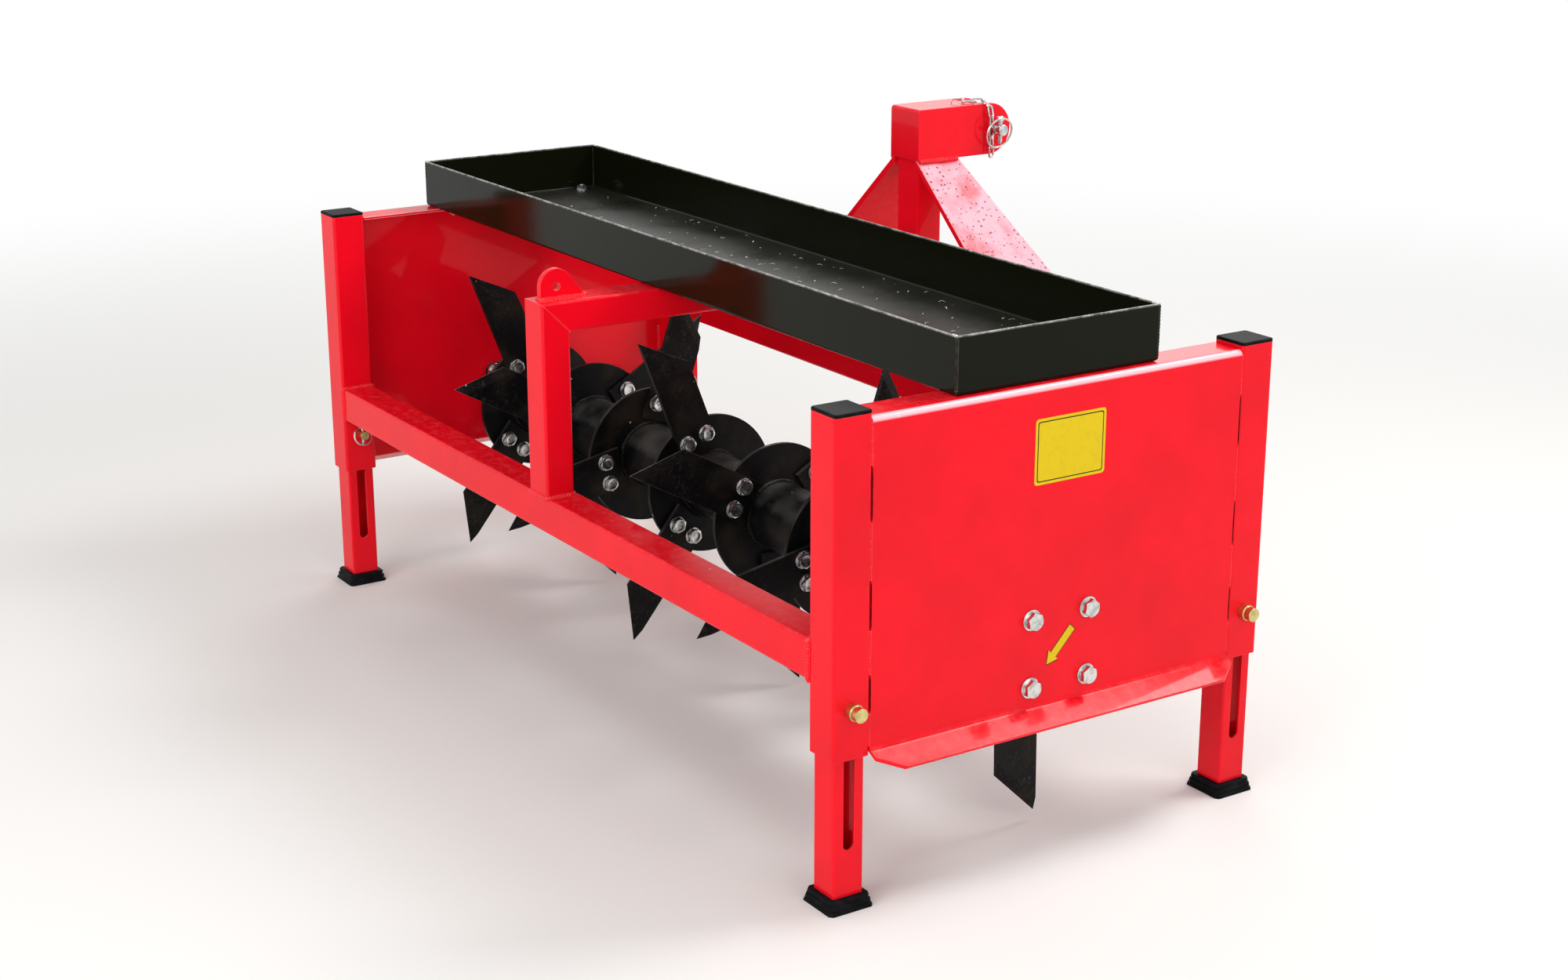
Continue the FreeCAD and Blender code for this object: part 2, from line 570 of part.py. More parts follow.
def make_rotor():
    """Tube with end journals, discs welded round it and three bolted blades on each disc."""
    tube_end = TUBE_HALF - TUBE_END_PLATE
    tube = rod((-tube_end, 0, 0), X_AXIS, TUBE_RADIUS, 2 * tube_end)
    tube = tube.cut(rod((-TUBE_HALF, 0, 0), X_AXIS, TUBE_RADIUS - TUBE_WALL, 2 * TUBE_HALF))
    save("rotor_tube", on_rotor(tube, 0, 0))
    journal = turned(((tube_end, TUBE_RADIUS), (TUBE_HALF, TUBE_RADIUS), (TUBE_HALF, SHAFT_RADIUS),
                      (PLATE_INNER - SHAFT_END_GAP, SHAFT_RADIUS)))
    journal = on_rotor(journal, 0, 0)
    save("rotor_journals", journal, mirrored(journal))
    disc = rod((-DISC_THICK, 0, 0), X_AXIS, DISC_RADIUS, DISC_THICK)
    disc = disc.cut(rod((-CUT_PAST, 0, 0), X_AXIS, TUBE_RADIUS, 2 * CUT_PAST))
    blade, bolts = blade_shape(), blade_bolt_shapes()
    discs, blades, blade_bolts = [], {"left": [], "right": []}, []
    for i in range(DISC_COUNT):
        x = END_DISC_INSET - TUBE_HALF + i * DISC_PITCH + DISC_THICK / 2
        side = "left" if x < 0 else "right"
        discs.append(on_rotor(disc, x, 0))
        for k in range(BLADES_PER_DISC):
            angle = BLADE_START + BLADE_STEP * i + 360.0 * k / BLADES_PER_DISC
            blades[side].append(on_rotor(blade, x, angle))
            blade_bolts += [on_rotor(bolt, x, angle) for bolt in bolts]
    save("rotor_discs", *discs)
    for side in blades:
        save("blades_" + side, *blades[side])
    save("blade_bolts", *blade_bolts)


os.makedirs("parts", exist_ok=True)
make_posts()
make_post_caps()
make_legs()
make_feet()
make_leg_pins()
make_side_plates()
make_bearings()
make_beams()
make_upright_and_spine()
make_lifting_eye()
make_mast()
make_braces()
make_lower_hitch()
make_tray()
make_rotor()
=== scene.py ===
"""Looks of a three-point mounted lawn aerator: red welded frame, black tray and black knife rotor.

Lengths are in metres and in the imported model's own frame: X across the machine, Y forward to its
hitch, Z up, zero on the floor. Names that end in _mm hold millimetres.
"""
from __future__ import annotations

import logging
import math
import random
from dataclasses import dataclass, field
from enum import Enum
from typing import Sequence, Union

import bmesh
import bpy
from mathutils import Matrix, Vector

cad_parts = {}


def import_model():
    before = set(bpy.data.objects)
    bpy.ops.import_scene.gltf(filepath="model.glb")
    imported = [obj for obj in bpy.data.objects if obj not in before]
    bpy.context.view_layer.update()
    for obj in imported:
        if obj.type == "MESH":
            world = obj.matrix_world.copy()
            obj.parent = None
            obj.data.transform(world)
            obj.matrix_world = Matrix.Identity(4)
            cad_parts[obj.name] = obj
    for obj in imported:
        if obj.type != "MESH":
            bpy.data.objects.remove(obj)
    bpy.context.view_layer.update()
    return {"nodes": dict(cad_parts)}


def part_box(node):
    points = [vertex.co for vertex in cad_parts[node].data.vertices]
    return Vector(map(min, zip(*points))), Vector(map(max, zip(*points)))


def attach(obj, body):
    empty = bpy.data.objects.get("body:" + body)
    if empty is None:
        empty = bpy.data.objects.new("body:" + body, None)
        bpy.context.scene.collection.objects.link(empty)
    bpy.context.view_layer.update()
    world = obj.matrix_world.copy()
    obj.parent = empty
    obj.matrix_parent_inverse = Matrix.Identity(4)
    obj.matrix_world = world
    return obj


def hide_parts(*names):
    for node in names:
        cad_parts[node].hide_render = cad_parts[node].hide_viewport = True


LOG = logging.getLogger("aerator")
MM = 0.001
Colour = tuple[float, float, float, float]
Points = Sequence[Sequence[float]]
# what feeds an input: a socket, or a node whose first output is meant
Source = Union[bpy.types.NodeSocket, bpy.types.Node]
# sockets of the colour form of the Mix node
MIX_A, MIX_B, MIX_RESULT = 6, 7, 2
# edges that turn by more than this stay sharp in the shading and get a small round
SHARP_DEGREES = 40.0
# the machine's two sides, and which way X points out there
SIDES = (("left", -1.0), ("right", 1.0))
FORWARD, UP = Vector((0, 1, 0)), Vector((0, 0, 1))
# stands what is drawn along X on end
UPRIGHT = Matrix.Rotation(math.radians(-90), 4, "Y")


class Body(str, Enum):
    """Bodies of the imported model."""

    FRAME = "frame"
    ROTOR = "rotor"
    LEG_REAR_LEFT = "leg_rear_left"
    LEG_REAR_RIGHT = "leg_rear_right"
    LEG_FRONT_LEFT = "leg_front_left"
    LEG_FRONT_RIGHT = "leg_front_right"


class Slot(str, Enum):
    """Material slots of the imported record."""

    RED_PAINT = "red_paint"
    BLACK_GLOSS = "black_gloss"
    BLACK_ROTOR = "black_rotor"
    CAST_HOUSING = "cast_housing"
    ZINC_BOLT = "zinc_bolt"
    YELLOW_ZINC = "yellow_zinc"
    BLACK_CAP = "black_cap"


def linear(code: str) -> Colour:
    """Turn an sRGB hex colour into linear values.

    Args:
        code: Colour such as "#C81018".

    Returns:
        Linear red, green, blue and an alpha of 1.
    """
    parts = [int(code[i:i + 2], 16) / 255 for i in (1, 3, 5)]
    values = [p / 12.92 if p <= 0.04045 else ((p + 0.055) / 1.055) ** 2.4 for p in parts]
    return values[0], values[1], values[2], 1.0


def per_metre(size_mm: float) -> float:
    """Scale of a texture in metre coordinates whose features are about size_mm wide."""
    return 1000.0 / size_mm


def add_node(tree: bpy.types.NodeTree, kind: str, settings: dict | None = None,
             links: dict | None = None) -> bpy.types.Node:
    """Add one node with its settings and links.

    Args:
        tree: Tree that gets the node.
        kind: Type name of the node.
        settings: Values by property name, or by name or index of an input.
        links: Sources by name or index of the input that they feed.

    Returns:
        The new node.
    """
    node = tree.nodes.new(kind)
    for name, value in (settings or {}).items():
        if isinstance(name, str) and hasattr(node, name):
            setattr(node, name, value)
        else:
            node.inputs[name].default_value = value
    for name, source in (links or {}).items():
        socket = source.outputs[0] if isinstance(source, bpy.types.Node) else source
        tree.links.new(socket, node.inputs[name])
    return node


@dataclass(frozen=True)
class Ramp:
    """How a mask becomes an amount: least up to the value start, most from the value full."""

    start: float = 0.0
    full: float = 1.0
    most: float = 1.0
    least: float = 0.0

    def settings(self) -> dict[str, float]:
        """Settings of the node that does it."""
        return {"From Min": self.start, "From Max": self.full, "To Min": self.least, "To Max": self.most}


@dataclass
class Surface:
    """A material in the making, with the masks and effects that the finishes share."""

    tree: bpy.types.NodeTree
    shader: bpy.types.Node
    # object coordinates in metres
    place: Source
    # the finish's own colour, and what the layers have made of it so far
    base: Colour
    colour: bpy.types.NodeSocket | None = None

    def edge_wear_and_highlight(self, reach_mm: float, soft: float) -> Source:
        """Mask that is 1 along sharp edges, from the normal rounded over a short reach.

        Args:
            reach_mm: How far from the edge the mask reaches.
            soft: Smaller values keep the mask closer to the edge.

        Returns:
            The mask.
        """
        rounded = add_node(self.tree, "ShaderNodeBevel", {"samples": 6, "Radius": reach_mm * MM})
        flat = add_node(self.tree, "ShaderNodeNewGeometry").outputs["Normal"]
        same = add_node(self.tree, "ShaderNodeVectorMath", {"operation": "DOT_PRODUCT"},
                        {0: rounded, 1: flat})
        return add_node(self.tree, "ShaderNodeMapRange", Ramp(1.0 - soft, 1.0, 0.0, 1.0).settings(),
                        {"Value": same.outputs["Value"]})

    def facing_up(self, start: float = 0.15, full: float = 0.6) -> Source:
        """Mask that is 1 on faces that look up and 0 on walls and undersides.

        Args:
            start: Upward part of the normal where the mask starts.
            full: Upward part of the normal where the mask is full.

        Returns:
            The mask.
        """
        normal = add_node(self.tree, "ShaderNodeNewGeometry").outputs["Normal"]
        parts = add_node(self.tree, "ShaderNodeSeparateXYZ", links={0: normal})
        return add_node(self.tree, "ShaderNodeMapRange", Ramp(start, full).settings(),
                        {"Value": parts.outputs["Z"]})

    def dots(self, apart_mm: float, share: float) -> Source:
        """Mask of scattered round dots of differing size.

        Args:
            apart_mm: Mean distance between the dots.
            share: Largest radius as a share of that distance.

        Returns:
            The mask.
        """
        cells = add_node(self.tree, "ShaderNodeTexVoronoi",
                         {"Scale": per_metre(apart_mm), "Randomness": 1.0}, {"Vector": self.place})
        random_size = add_node(self.tree, "ShaderNodeSeparateXYZ", links={0: cells.outputs["Color"]})
        reach = add_node(self.tree, "ShaderNodeMath", {"operation": "MULTIPLY", 1: share}, {0: random_size})
        return add_node(self.tree, "ShaderNodeMath", {"operation": "LESS_THAN"},
                        {0: cells.outputs["Distance"], 1: reach})

    def layer(self, mask: Source, ramp: Ramp, over: str, where: Source | None = None) -> None:
        """Lay a colour over the ones so far where a mask says so.

        Args:
            mask: The mask.
            ramp: How much of the new colour each value of the mask gives.
            over: The new colour.
            where: Second mask that keeps the new colour to a part of the surface.
        """
        amount = add_node(self.tree, "ShaderNodeMapRange", ramp.settings(), {"Value": mask})
        if where:
            amount = add_node(self.tree, "ShaderNodeMath", {"operation": "MULTIPLY"}, {0: amount, 1: where})
        mixed = add_node(self.tree, "ShaderNodeMix",
                         {"data_type": "RGBA", MIX_A: self.base, MIX_B: linear(over)}, {0: amount})
        if self.colour:
            self.tree.links.new(self.colour, mixed.inputs[MIX_A])
        self.colour = mixed.outputs[MIX_RESULT]
        self.tree.links.new(self.colour, self.shader.inputs["Base Color"])

    def dull(self, mask: Source, ramp: Ramp) -> None:
        """Let the roughness follow a mask.

        Args:
            mask: The mask.
            ramp: Roughness that each value of the mask gives.
        """
        rough = add_node(self.tree, "ShaderNodeMapRange", ramp.settings(), {"Value": mask})
        self.tree.links.new(rough.outputs["Result"], self.shader.inputs["Roughness"])

    def relief(self, height: Source, depth_mm: float, strength: float = 1.0) -> None:
        """Feed a height into the shader's normal.

        Args:
            height: Height from 0 to 1.
            depth_mm: Depth that the full height stands for.
            strength: Share of the effect.
        """
        bump = add_node(self.tree, "ShaderNodeBump", {"Strength": strength, "Distance": depth_mm * MM},
                        {"Height": height})
        self.tree.links.new(bump.outputs["Normal"], self.shader.inputs["Normal"])


@dataclass(frozen=True)
class Finish:
    """One surface finish. Its material is made once and shared by all pieces that wear it."""

    name: str
    base: str = "#808080"
    roughness: float = 0.5
    metallic: float = 0.0
    ior: float = 1.5
    gloss: float = 0.5

    def material(self) -> bpy.types.Material:
        """Return the finish's material, making it on the first call."""
        found = bpy.data.materials.get(self.name)
        if found:
            return found
        made = bpy.data.materials.new(self.name)
        made.use_nodes = True
        made.diffuse_color = linear(self.base)
        tree = made.node_tree
        tree.nodes.clear()
        shader = add_node(tree, "ShaderNodeBsdfPrincipled",
                          {"Base Color": linear(self.base), "Roughness": self.roughness,
                           "Metallic": self.metallic, "IOR": self.ior, "Specular IOR Level": self.gloss})
        add_node(tree, "ShaderNodeOutputMaterial", links={"Surface": shader})
        place = add_node(tree, "ShaderNodeTexCoord").outputs["Object"]
        self.dress(Surface(tree, shader, place, linear(self.base)))
        return made

    def dress(self, surface: Surface) -> None:
        """Add the finish's own patterns to its material.

        Args:
            surface: Material in the making.
        """


@dataclass(frozen=True)
class PowderCoat(Finish):
    """Baked powder paint on steel: a glossy skin with fine orange peel and a painted highlight along its
    edges.
    """

    gloss: float = 0.08
    shade: str = "#C20A16"
    # pale is the colour of the painted highlight along the edges; edge_share sets how much of it is laid
    pale: str = "#FF7A80"
    dust: str = "#D8B0A8"
    speck: str = "#F4E4DE"
    edge_share: float = 0.5
    coat: float = 0.2
    coat_roughness: float = 0.04
    # orange peel from crest to crest, and how deep it is
    peel_mm: float = 3.2
    peel_depth_mm: float = 0.03

    def dress(self, surface: Surface) -> None:
        """Colour drift, dust and specks on upper faces, a painted highlight along the edges and orange peel.

        Args:
            surface: Material in the making.
        """
        tree, place = surface.tree, {"Vector": surface.place}
        surface.shader.inputs["Coat Weight"].default_value = self.coat
        surface.shader.inputs["Coat Roughness"].default_value = self.coat_roughness
        # broad drift of the coat's thickness, a hand wide
        drift = add_node(tree, "ShaderNodeTexNoise", {"Scale": per_metre(130), "Detail": 3.0}, place)
        surface.layer(drift, Ramp(0.4, 0.75, 0.35), self.shade)
        # painted highlight: a pale line along every edge
        surface.layer(surface.edge_wear_and_highlight(1.6, 0.35), Ramp(most=self.edge_share), self.pale)
        # dust in patches the size of a coin, and dried drops of 2 to 4 mm, on faces that look up
        up = surface.facing_up()
        patches = add_node(tree, "ShaderNodeTexNoise",
                           {"Scale": per_metre(16), "Detail": 9.0, "Roughness": 0.75}, place)
        surface.layer(patches, Ramp(0.48, 0.8, 0.16), self.dust, up)
        surface.layer(surface.dots(42.0, 0.055), Ramp(most=0.8), self.speck, up)
        surface.dull(patches, Ramp(0.4, 0.85, self.roughness + 0.06, self.roughness))
        peel = add_node(tree, "ShaderNodeTexNoise", {"Scale": per_metre(self.peel_mm), "Detail": 2.0}, place)
        surface.relief(peel, self.peel_depth_mm)


@dataclass(frozen=True)
class SkyReflectionDropletCoat(PowderCoat):
    """Powder paint with a painted reflection of the sky on its upper faces, broken by dots where drops have
    dried.
    """

    sky_reflection_colour: str = "#F0A4B2"
    dot: str = "#64142C"
    sky_reflection_share: float = 0.95

    def dress(self, surface: Surface) -> None:
        """Painted sky reflection with dots of dried drops, on faces that look up, over the paint.

        Args:
            surface: Material in the making.
        """
        super().dress(surface)
        up = surface.facing_up()
        cloud = add_node(surface.tree, "ShaderNodeTexNoise",
                         {"Scale": per_metre(75), "Detail": 5.0, "Roughness": 0.6},
                         {"Vector": surface.place})
        # painted reflection of the sky: a pale milky colour in clouds on faces that look up
        surface.layer(cloud, Ramp(0.36, 0.54, self.sky_reflection_share, self.sky_reflection_share * 0.35), self.sky_reflection_colour, up)
        # dried drops of 2 to 5 mm, less than a centimetre apart, dark in the painted reflection
        surface.layer(surface.dots(6.8, 0.4), Ramp(most=0.85), self.dot, up)


@dataclass(frozen=True)
class FoldedCoat(PowderCoat):
    """Powder paint on folded sheet, with a painted highlight along the fold at the top."""

    painted_fold_highlight: str = "#FFD4DC"
    fold_high: float = 1.0
    fold_deep_mm: float = 12.0

    def dress(self, surface: Surface) -> None:
        """Painted highlight where the surface turns from the wall to the flange, over the paint.

        Args:
            surface: Material in the making.
        """
        super().dress(surface)
        tree = surface.tree
        normal = add_node(tree, "ShaderNodeNewGeometry").outputs["Normal"]
        parts = add_node(tree, "ShaderNodeSeparateXYZ", links={0: normal})
        turned = add_node(tree, "ShaderNodeMath", {"operation": "MULTIPLY"},
                          {0: parts.outputs["X"], 1: parts.outputs["Z"]})
        turned = add_node(tree, "ShaderNodeMath", {"operation": "ABSOLUTE"}, {0: turned})
        level = add_node(tree, "ShaderNodeSeparateXYZ", links={0: surface.place}).outputs["Z"]
        foot = self.fold_high - self.fold_deep_mm * MM
        high = add_node(tree, "ShaderNodeMapRange", Ramp(foot, foot + MM).settings(), {"Value": level})
        line = add_node(tree, "ShaderNodeMath", {"operation": "MULTIPLY"}, {0: turned, 1: high})
        # painted highlight along the fold, where the normal turns between the wall and the flange
        surface.layer(line, Ramp(0.1, 0.42, 0.8), self.painted_fold_highlight)


@dataclass(frozen=True)
class TrayEnamel(Finish):
    """Black gloss enamel on sheet steel: deep and mirror-like, scuffed grey along its rim."""

    gloss: float = 0.11
    scuff: str = "#B4B2AC"
    dirt: str = "#3C3A36"
    fleck: str = "#D9D6CE"
    dusty_roughness: float = 0.7
    rim_high: float = 1.0

    def dress(self, surface: Surface) -> None:
        """Scuffed rim and edges, dust on the floor, light waviness of the sheet.

        Args:
            surface: Material in the making.
        """
        tree, place = surface.tree, {"Vector": surface.place}
        level = add_node(tree, "ShaderNodeSeparateXYZ", links={0: surface.place}).outputs["Z"]
        rim = add_node(tree, "ShaderNodeMapRange",
                       Ramp(self.rim_high - 3.0 * MM, self.rim_high - 0.6 * MM).settings(), {"Value": level})
        bare = add_node(tree, "ShaderNodeMath", {"operation": "MAXIMUM"},
                        {0: rim, 1: surface.edge_wear_and_highlight(1.8, 0.4)})
        # loose dirt lies on what looks up: crumbs of a few millimetres over a thin film
        floor = surface.facing_up(0.8, 0.98)
        crumbs = add_node(tree, "ShaderNodeTexNoise",
                          {"Scale": per_metre(8), "Detail": 9.0, "Roughness": 0.8}, place)
        film = add_node(tree, "ShaderNodeTexNoise",
                        {"Scale": per_metre(170), "Detail": 6.0, "Roughness": 0.6}, place)
        fine = add_node(tree, "ShaderNodeMapRange", Ramp(0.5, 0.75, 0.5).settings(), {"Value": crumbs})
        broad = add_node(tree, "ShaderNodeMapRange", Ramp(0.34, 0.66, 0.6, 0.22).settings(), {"Value": film})
        thick = add_node(tree, "ShaderNodeMath", {"operation": "MULTIPLY_ADD", 1: 0.6}, {0: fine, 2: broad})
        dirty = add_node(tree, "ShaderNodeMath", {"operation": "MULTIPLY"}, {0: thick, 1: floor})
        surface.layer(dirty, Ramp(most=0.8), self.dirt)
        surface.layer(surface.dots(21.0, 0.07), Ramp(most=0.8), self.fleck, floor)
        # scuffs are broken every few centimetres
        broken = add_node(tree, "ShaderNodeTexNoise",
                          {"Scale": per_metre(22), "Detail": 7.0, "Roughness": 0.75}, place)
        surface.layer(broken, Ramp(0.4, 0.62, least=0.14), self.scuff, bare)
        surface.dull(dirty, Ramp(most=self.dusty_roughness, least=self.roughness))
        wave = add_node(tree, "ShaderNodeTexNoise", {"Scale": per_metre(90), "Detail": 2.0}, place)
        surface.relief(wave, 0.9, 0.5)


@dataclass(frozen=True)
class RotorPaint(Finish):
    """Satin black air-dried paint on mild steel: rubbed grey by soil towards the blade tips."""

    gloss: float = 0.15
    rubbed: str = "#6A6966"
    bright: str = "#B8B6B0"
    soil: str = "#4B3F30"
    chip: str = "#C9C6BF"
    axis: tuple[float, float, float] = (0.0, 0.0, 0.0)
    clean_radius_mm: float = 120.0
    worn_radius_mm: float = 300.0

    def dress(self, surface: Surface) -> None:
        """Rubbed edges and scratches that grow with the distance from the rotor's axis.

        Args:
            surface: Material in the making.
        """
        tree, place = surface.tree, {"Vector": surface.place}
        spoke = add_node(tree, "ShaderNodeVectorMath", {"operation": "SUBTRACT", 1: self.axis},
                         {0: surface.place})
        spoke = add_node(tree, "ShaderNodeVectorMath", {"operation": "MULTIPLY", 1: (0.0, 1.0, 1.0)},
                         {0: spoke})
        radius = add_node(tree, "ShaderNodeVectorMath", {"operation": "LENGTH"}, {0: spoke})
        worn = Ramp(self.clean_radius_mm * MM, self.worn_radius_mm * MM, least=0.12)
        outer = add_node(tree, "ShaderNodeMapRange", worn.settings(), {"Value": radius.outputs["Value"]})
        cloud = add_node(tree, "ShaderNodeTexNoise", {"Scale": per_metre(60), "Detail": 5.0}, place)
        surface.layer(cloud, Ramp(0.5, 0.85, 0.35), self.soil)
        # dry mud dust that has settled on top
        dust = add_node(tree, "ShaderNodeMath", {"operation": "MULTIPLY"},
                        {0: surface.facing_up(), 1: cloud})
        surface.layer(dust, Ramp(0.3, 0.75, 0.4), self.rubbed)
        surface.layer(surface.dots(26.0, 0.07), Ramp(most=0.8), self.chip)
        # scratches by grit, drawn 2 mm wide so that they still show
        scratch = add_node(tree, "ShaderNodeTexNoise",
                           {"Scale": per_metre(9), "Detail": 10.0, "Roughness": 0.78, "Distortion": 1.6},
                           place)
        scratched = add_node(tree, "ShaderNodeMapRange", Ramp(0.54, 0.7, 0.6).settings(), {"Value": scratch})
        wear = add_node(tree, "ShaderNodeMath", {"operation": "MAXIMUM"},
                        {0: scratched, 1: surface.edge_wear_and_highlight(1.4, 0.45)})
        surface.layer(wear, Ramp(), self.rubbed, outer)
        # the very edges are rubbed bright
        rim = add_node(tree, "ShaderNodeMath", {"operation": "MULTIPLY"},
                       {0: surface.edge_wear_and_highlight(0.8, 0.35), 1: outer})
        surface.layer(rim, Ramp(0.25, 0.9, 0.8), self.bright)
        surface.dull(cloud, Ramp(0.3, 0.8, self.roughness + 0.3, self.roughness))
        # brushed paint has a grain of half a millimetre; drawn at 2.5 mm so that it shows
        grain = add_node(tree, "ShaderNodeTexNoise", {"Scale": per_metre(2.5), "Detail": 3.0}, place)
        surface.relief(grain, 0.06)


@dataclass(frozen=True)
class PlatedSteel(Finish):
    """Bright steel under a thin plating: clear reflections broken by a faint cloudy bloom."""

    bloom: str = "#9AA0A2"
    bloom_share: float = 0.6
    bloom_roughness: float = 0.15
    # the rolled grain is finer than half a millimetre; drawn coarser so that it shows
    grain_mm: float = 3.0

    def dress(self, surface: Surface) -> None:
        """Cloudy bloom in colour and gloss, and a fine rolled grain.

        Args:
            surface: Material in the making.
        """
        tree, place = surface.tree, {"Vector": surface.place}
        cloud = add_node(tree, "ShaderNodeTexNoise", {"Scale": per_metre(9), "Detail": 5.0}, place)
        surface.layer(cloud, Ramp(0.4, 0.68, self.bloom_share), self.bloom)
        surface.dull(cloud, Ramp(0.4, 0.68, self.roughness + self.bloom_roughness, self.roughness))
        grain = add_node(tree, "ShaderNodeTexNoise", {"Scale": per_metre(self.grain_mm), "Detail": 4.0},
                         place)
        surface.relief(grain, 0.05)


@dataclass(frozen=True)
class MouldedPlastic(Finish):
    """Injection moulded polyethylene: matt, lightly sparked and bleached, with a painted highlight along its
    edges.
    """

    gloss: float = 0.04
    bleached: str = "#2C2C30"
    # colour of the painted highlight along the edges
    edge_highlight: str = "#8C8E96"

    def dress(self, surface: Surface) -> None:
        """Bleached patches, a painted highlight along the edges and the mould's sparked texture.

        Args:
            surface: Material in the making.
        """
        tree, place = surface.tree, {"Vector": surface.place}
        cloud = add_node(tree, "ShaderNodeTexNoise",
                         {"Scale": per_metre(18), "Detail": 6.0, "Roughness": 0.65}, place)
        surface.layer(cloud, Ramp(0.45, 0.75, 0.5), self.bleached)
        # painted highlight along the edges
        surface.layer(surface.edge_wear_and_highlight(1.0, 0.5), Ramp(0.1, 1.0, 0.7), self.edge_highlight)
        # spark erosion pits are a tenth of a millimetre; drawn at 0.8 mm so that they show
        pits = add_node(tree, "ShaderNodeTexNoise", {"Scale": per_metre(0.8), "Detail": 2.0}, place)
        surface.relief(pits, 0.08)


@dataclass(frozen=True)
class Vinyl(Finish):
    """Cast vinyl film stuck on paint: even, slightly glossy, with a little grime."""

    gloss: float = 0.2
    grime: str = "#B08A10"

    def dress(self, surface: Surface) -> None:
        """Grime in patches and the ripple of film over paint.

        Args:
            surface: Material in the making.
        """
        cloud = add_node(surface.tree, "ShaderNodeTexNoise",
                         {"Scale": per_metre(15), "Detail": 7.0, "Roughness": 0.7},
                         {"Vector": surface.place})
        surface.layer(cloud, Ramp(0.5, 0.85, 0.45), self.grime)
        surface.relief(cloud, 0.1)


@dataclass(frozen=True)
class DryGrass(Finish):
    """Mown grass, dried: straw to dull green from blade to blade."""

    green: str = "#6E7A3A"

    def dress(self, surface: Surface) -> None:
        """Colour that changes from clipping to clipping.

        Args:
            surface: Material in the making.
        """
        cloud = add_node(surface.tree, "ShaderNodeTexNoise", {"Scale": per_metre(12), "Detail": 1.0},
                         {"Vector": surface.place})
        surface.layer(cloud, Ramp(0.42, 0.6), self.green)


# powder melts to one closed skin: an even, strong red with soft highlights
RED = PowderCoat("red powder coat", base="#F00A20", roughness=0.22)
# the ripples of a weld get a paler, stronger painted highlight along their edges
RED_WELD = PowderCoat("red powder coat over welds", base="#F00A20", roughness=0.24, pale="#FF98A0",
                      edge_share=0.9)
# a painted reflection of the sky on the upper faces: nearly white, with dark dots of dried drops and no
# mirror
RED_SKY_REFLECTION = SkyReflectionDropletCoat("red powder coat, painted sky reflection and dried drops", base="#F00A20", roughness=0.3, coat=0.06)
# the same paint with only a trace of that painted reflection and less gloss, for a brace in shade
RED_FAINT_SKY_REFLECTION = SkyReflectionDropletCoat("red powder coat, faint painted sky reflection", base="#F00A20", roughness=0.26, coat=0.0,
                          gloss=0.02, sky_reflection_share=0.1)
# electroplated zinc: a cool grey mirror with cloudy spots
ZINC = PlatedSteel("zinc plated steel", base="#DADCDA", roughness=0.2, metallic=1.0, bloom="#82888A")
# zinc with a yellow chromate dip: a warm metal with a green cast
CHROMATE = PlatedSteel("yellow chromated steel", base="#D9C888", roughness=0.26, metallic=1.0,
                       bloom="#8E9160")
# steel ground or rubbed bare: warmer and duller than zinc, with a finer grain
BARE_STEEL = PlatedSteel("ground steel", base="#D4D2CC", roughness=0.3, metallic=1.0, bloom="#9A948A",
                         grain_mm=1.5)
# plastic from a sparked mould: deep black without a glossy highlight, with a painted highlight along its
# corners
PLASTIC = MouldedPlastic("black moulded polyethylene", base="#0E0E10", roughness=0.45)
# pigmented film: a flat strong yellow with a soft sheen
LABEL = Vinyl("yellow vinyl film", base="#DEC008", roughness=0.35, grime="#B8980C")
# ink printed on film: nearly black and a little duller than the film
OUTLINE = Vinyl("dark printed film", base="#2A2410", roughness=0.4, grime="#4A4020")
# a joint that paint doesn't reach, with the shade in its gap painted as a matt dark line, patchy, with a
# trace of red
SHADOW_GAP = MouldedPlastic("open joint with painted shade", base="#1C0406", roughness=0.85, bleached="#3A0A0E",
                            edge_highlight="#2A0608")
# cut grass dried in the sun: pale straw without any gloss
CLIPPINGS = DryGrass("dried grass clippings", base="#D8D2B8", roughness=0.9, green="#8A8F62")


def middle_of(node: str) -> Vector:
    """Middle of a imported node's box."""
    low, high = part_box(node)
    return (low + high) / 2


def outer_face(node: str, way: float) -> float:
    """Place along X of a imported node's left side where way is negative, or else of its right side."""
    low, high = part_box(node)
    return high.x if way > 0 else low.x


def ring_path(centre: Vector, radius: float, across: Vector, up: Vector, count: int,
              start: float = 0.0, turn: float = 2 * math.pi) -> list[Vector]:
    """Points on a circle or an arc.

    Args:
        centre: Its centre.
        radius: Its radius in metres.
        across: Direction of the angle 0.
        up: Direction of the angle 90 degrees.
        count: Number of points.
        start: First angle in radians.
        turn: Angle that the points cover.

    Returns:
        The points, without the end of a full circle.
    """
    whole = abs(turn - 2 * math.pi) < 1e-6
    steps = count if whole else count - 1
    angles = [start + turn * i / steps for i in range(count)]
    return [centre + (across * math.cos(a) + up * math.sin(a)) * radius for a in angles]


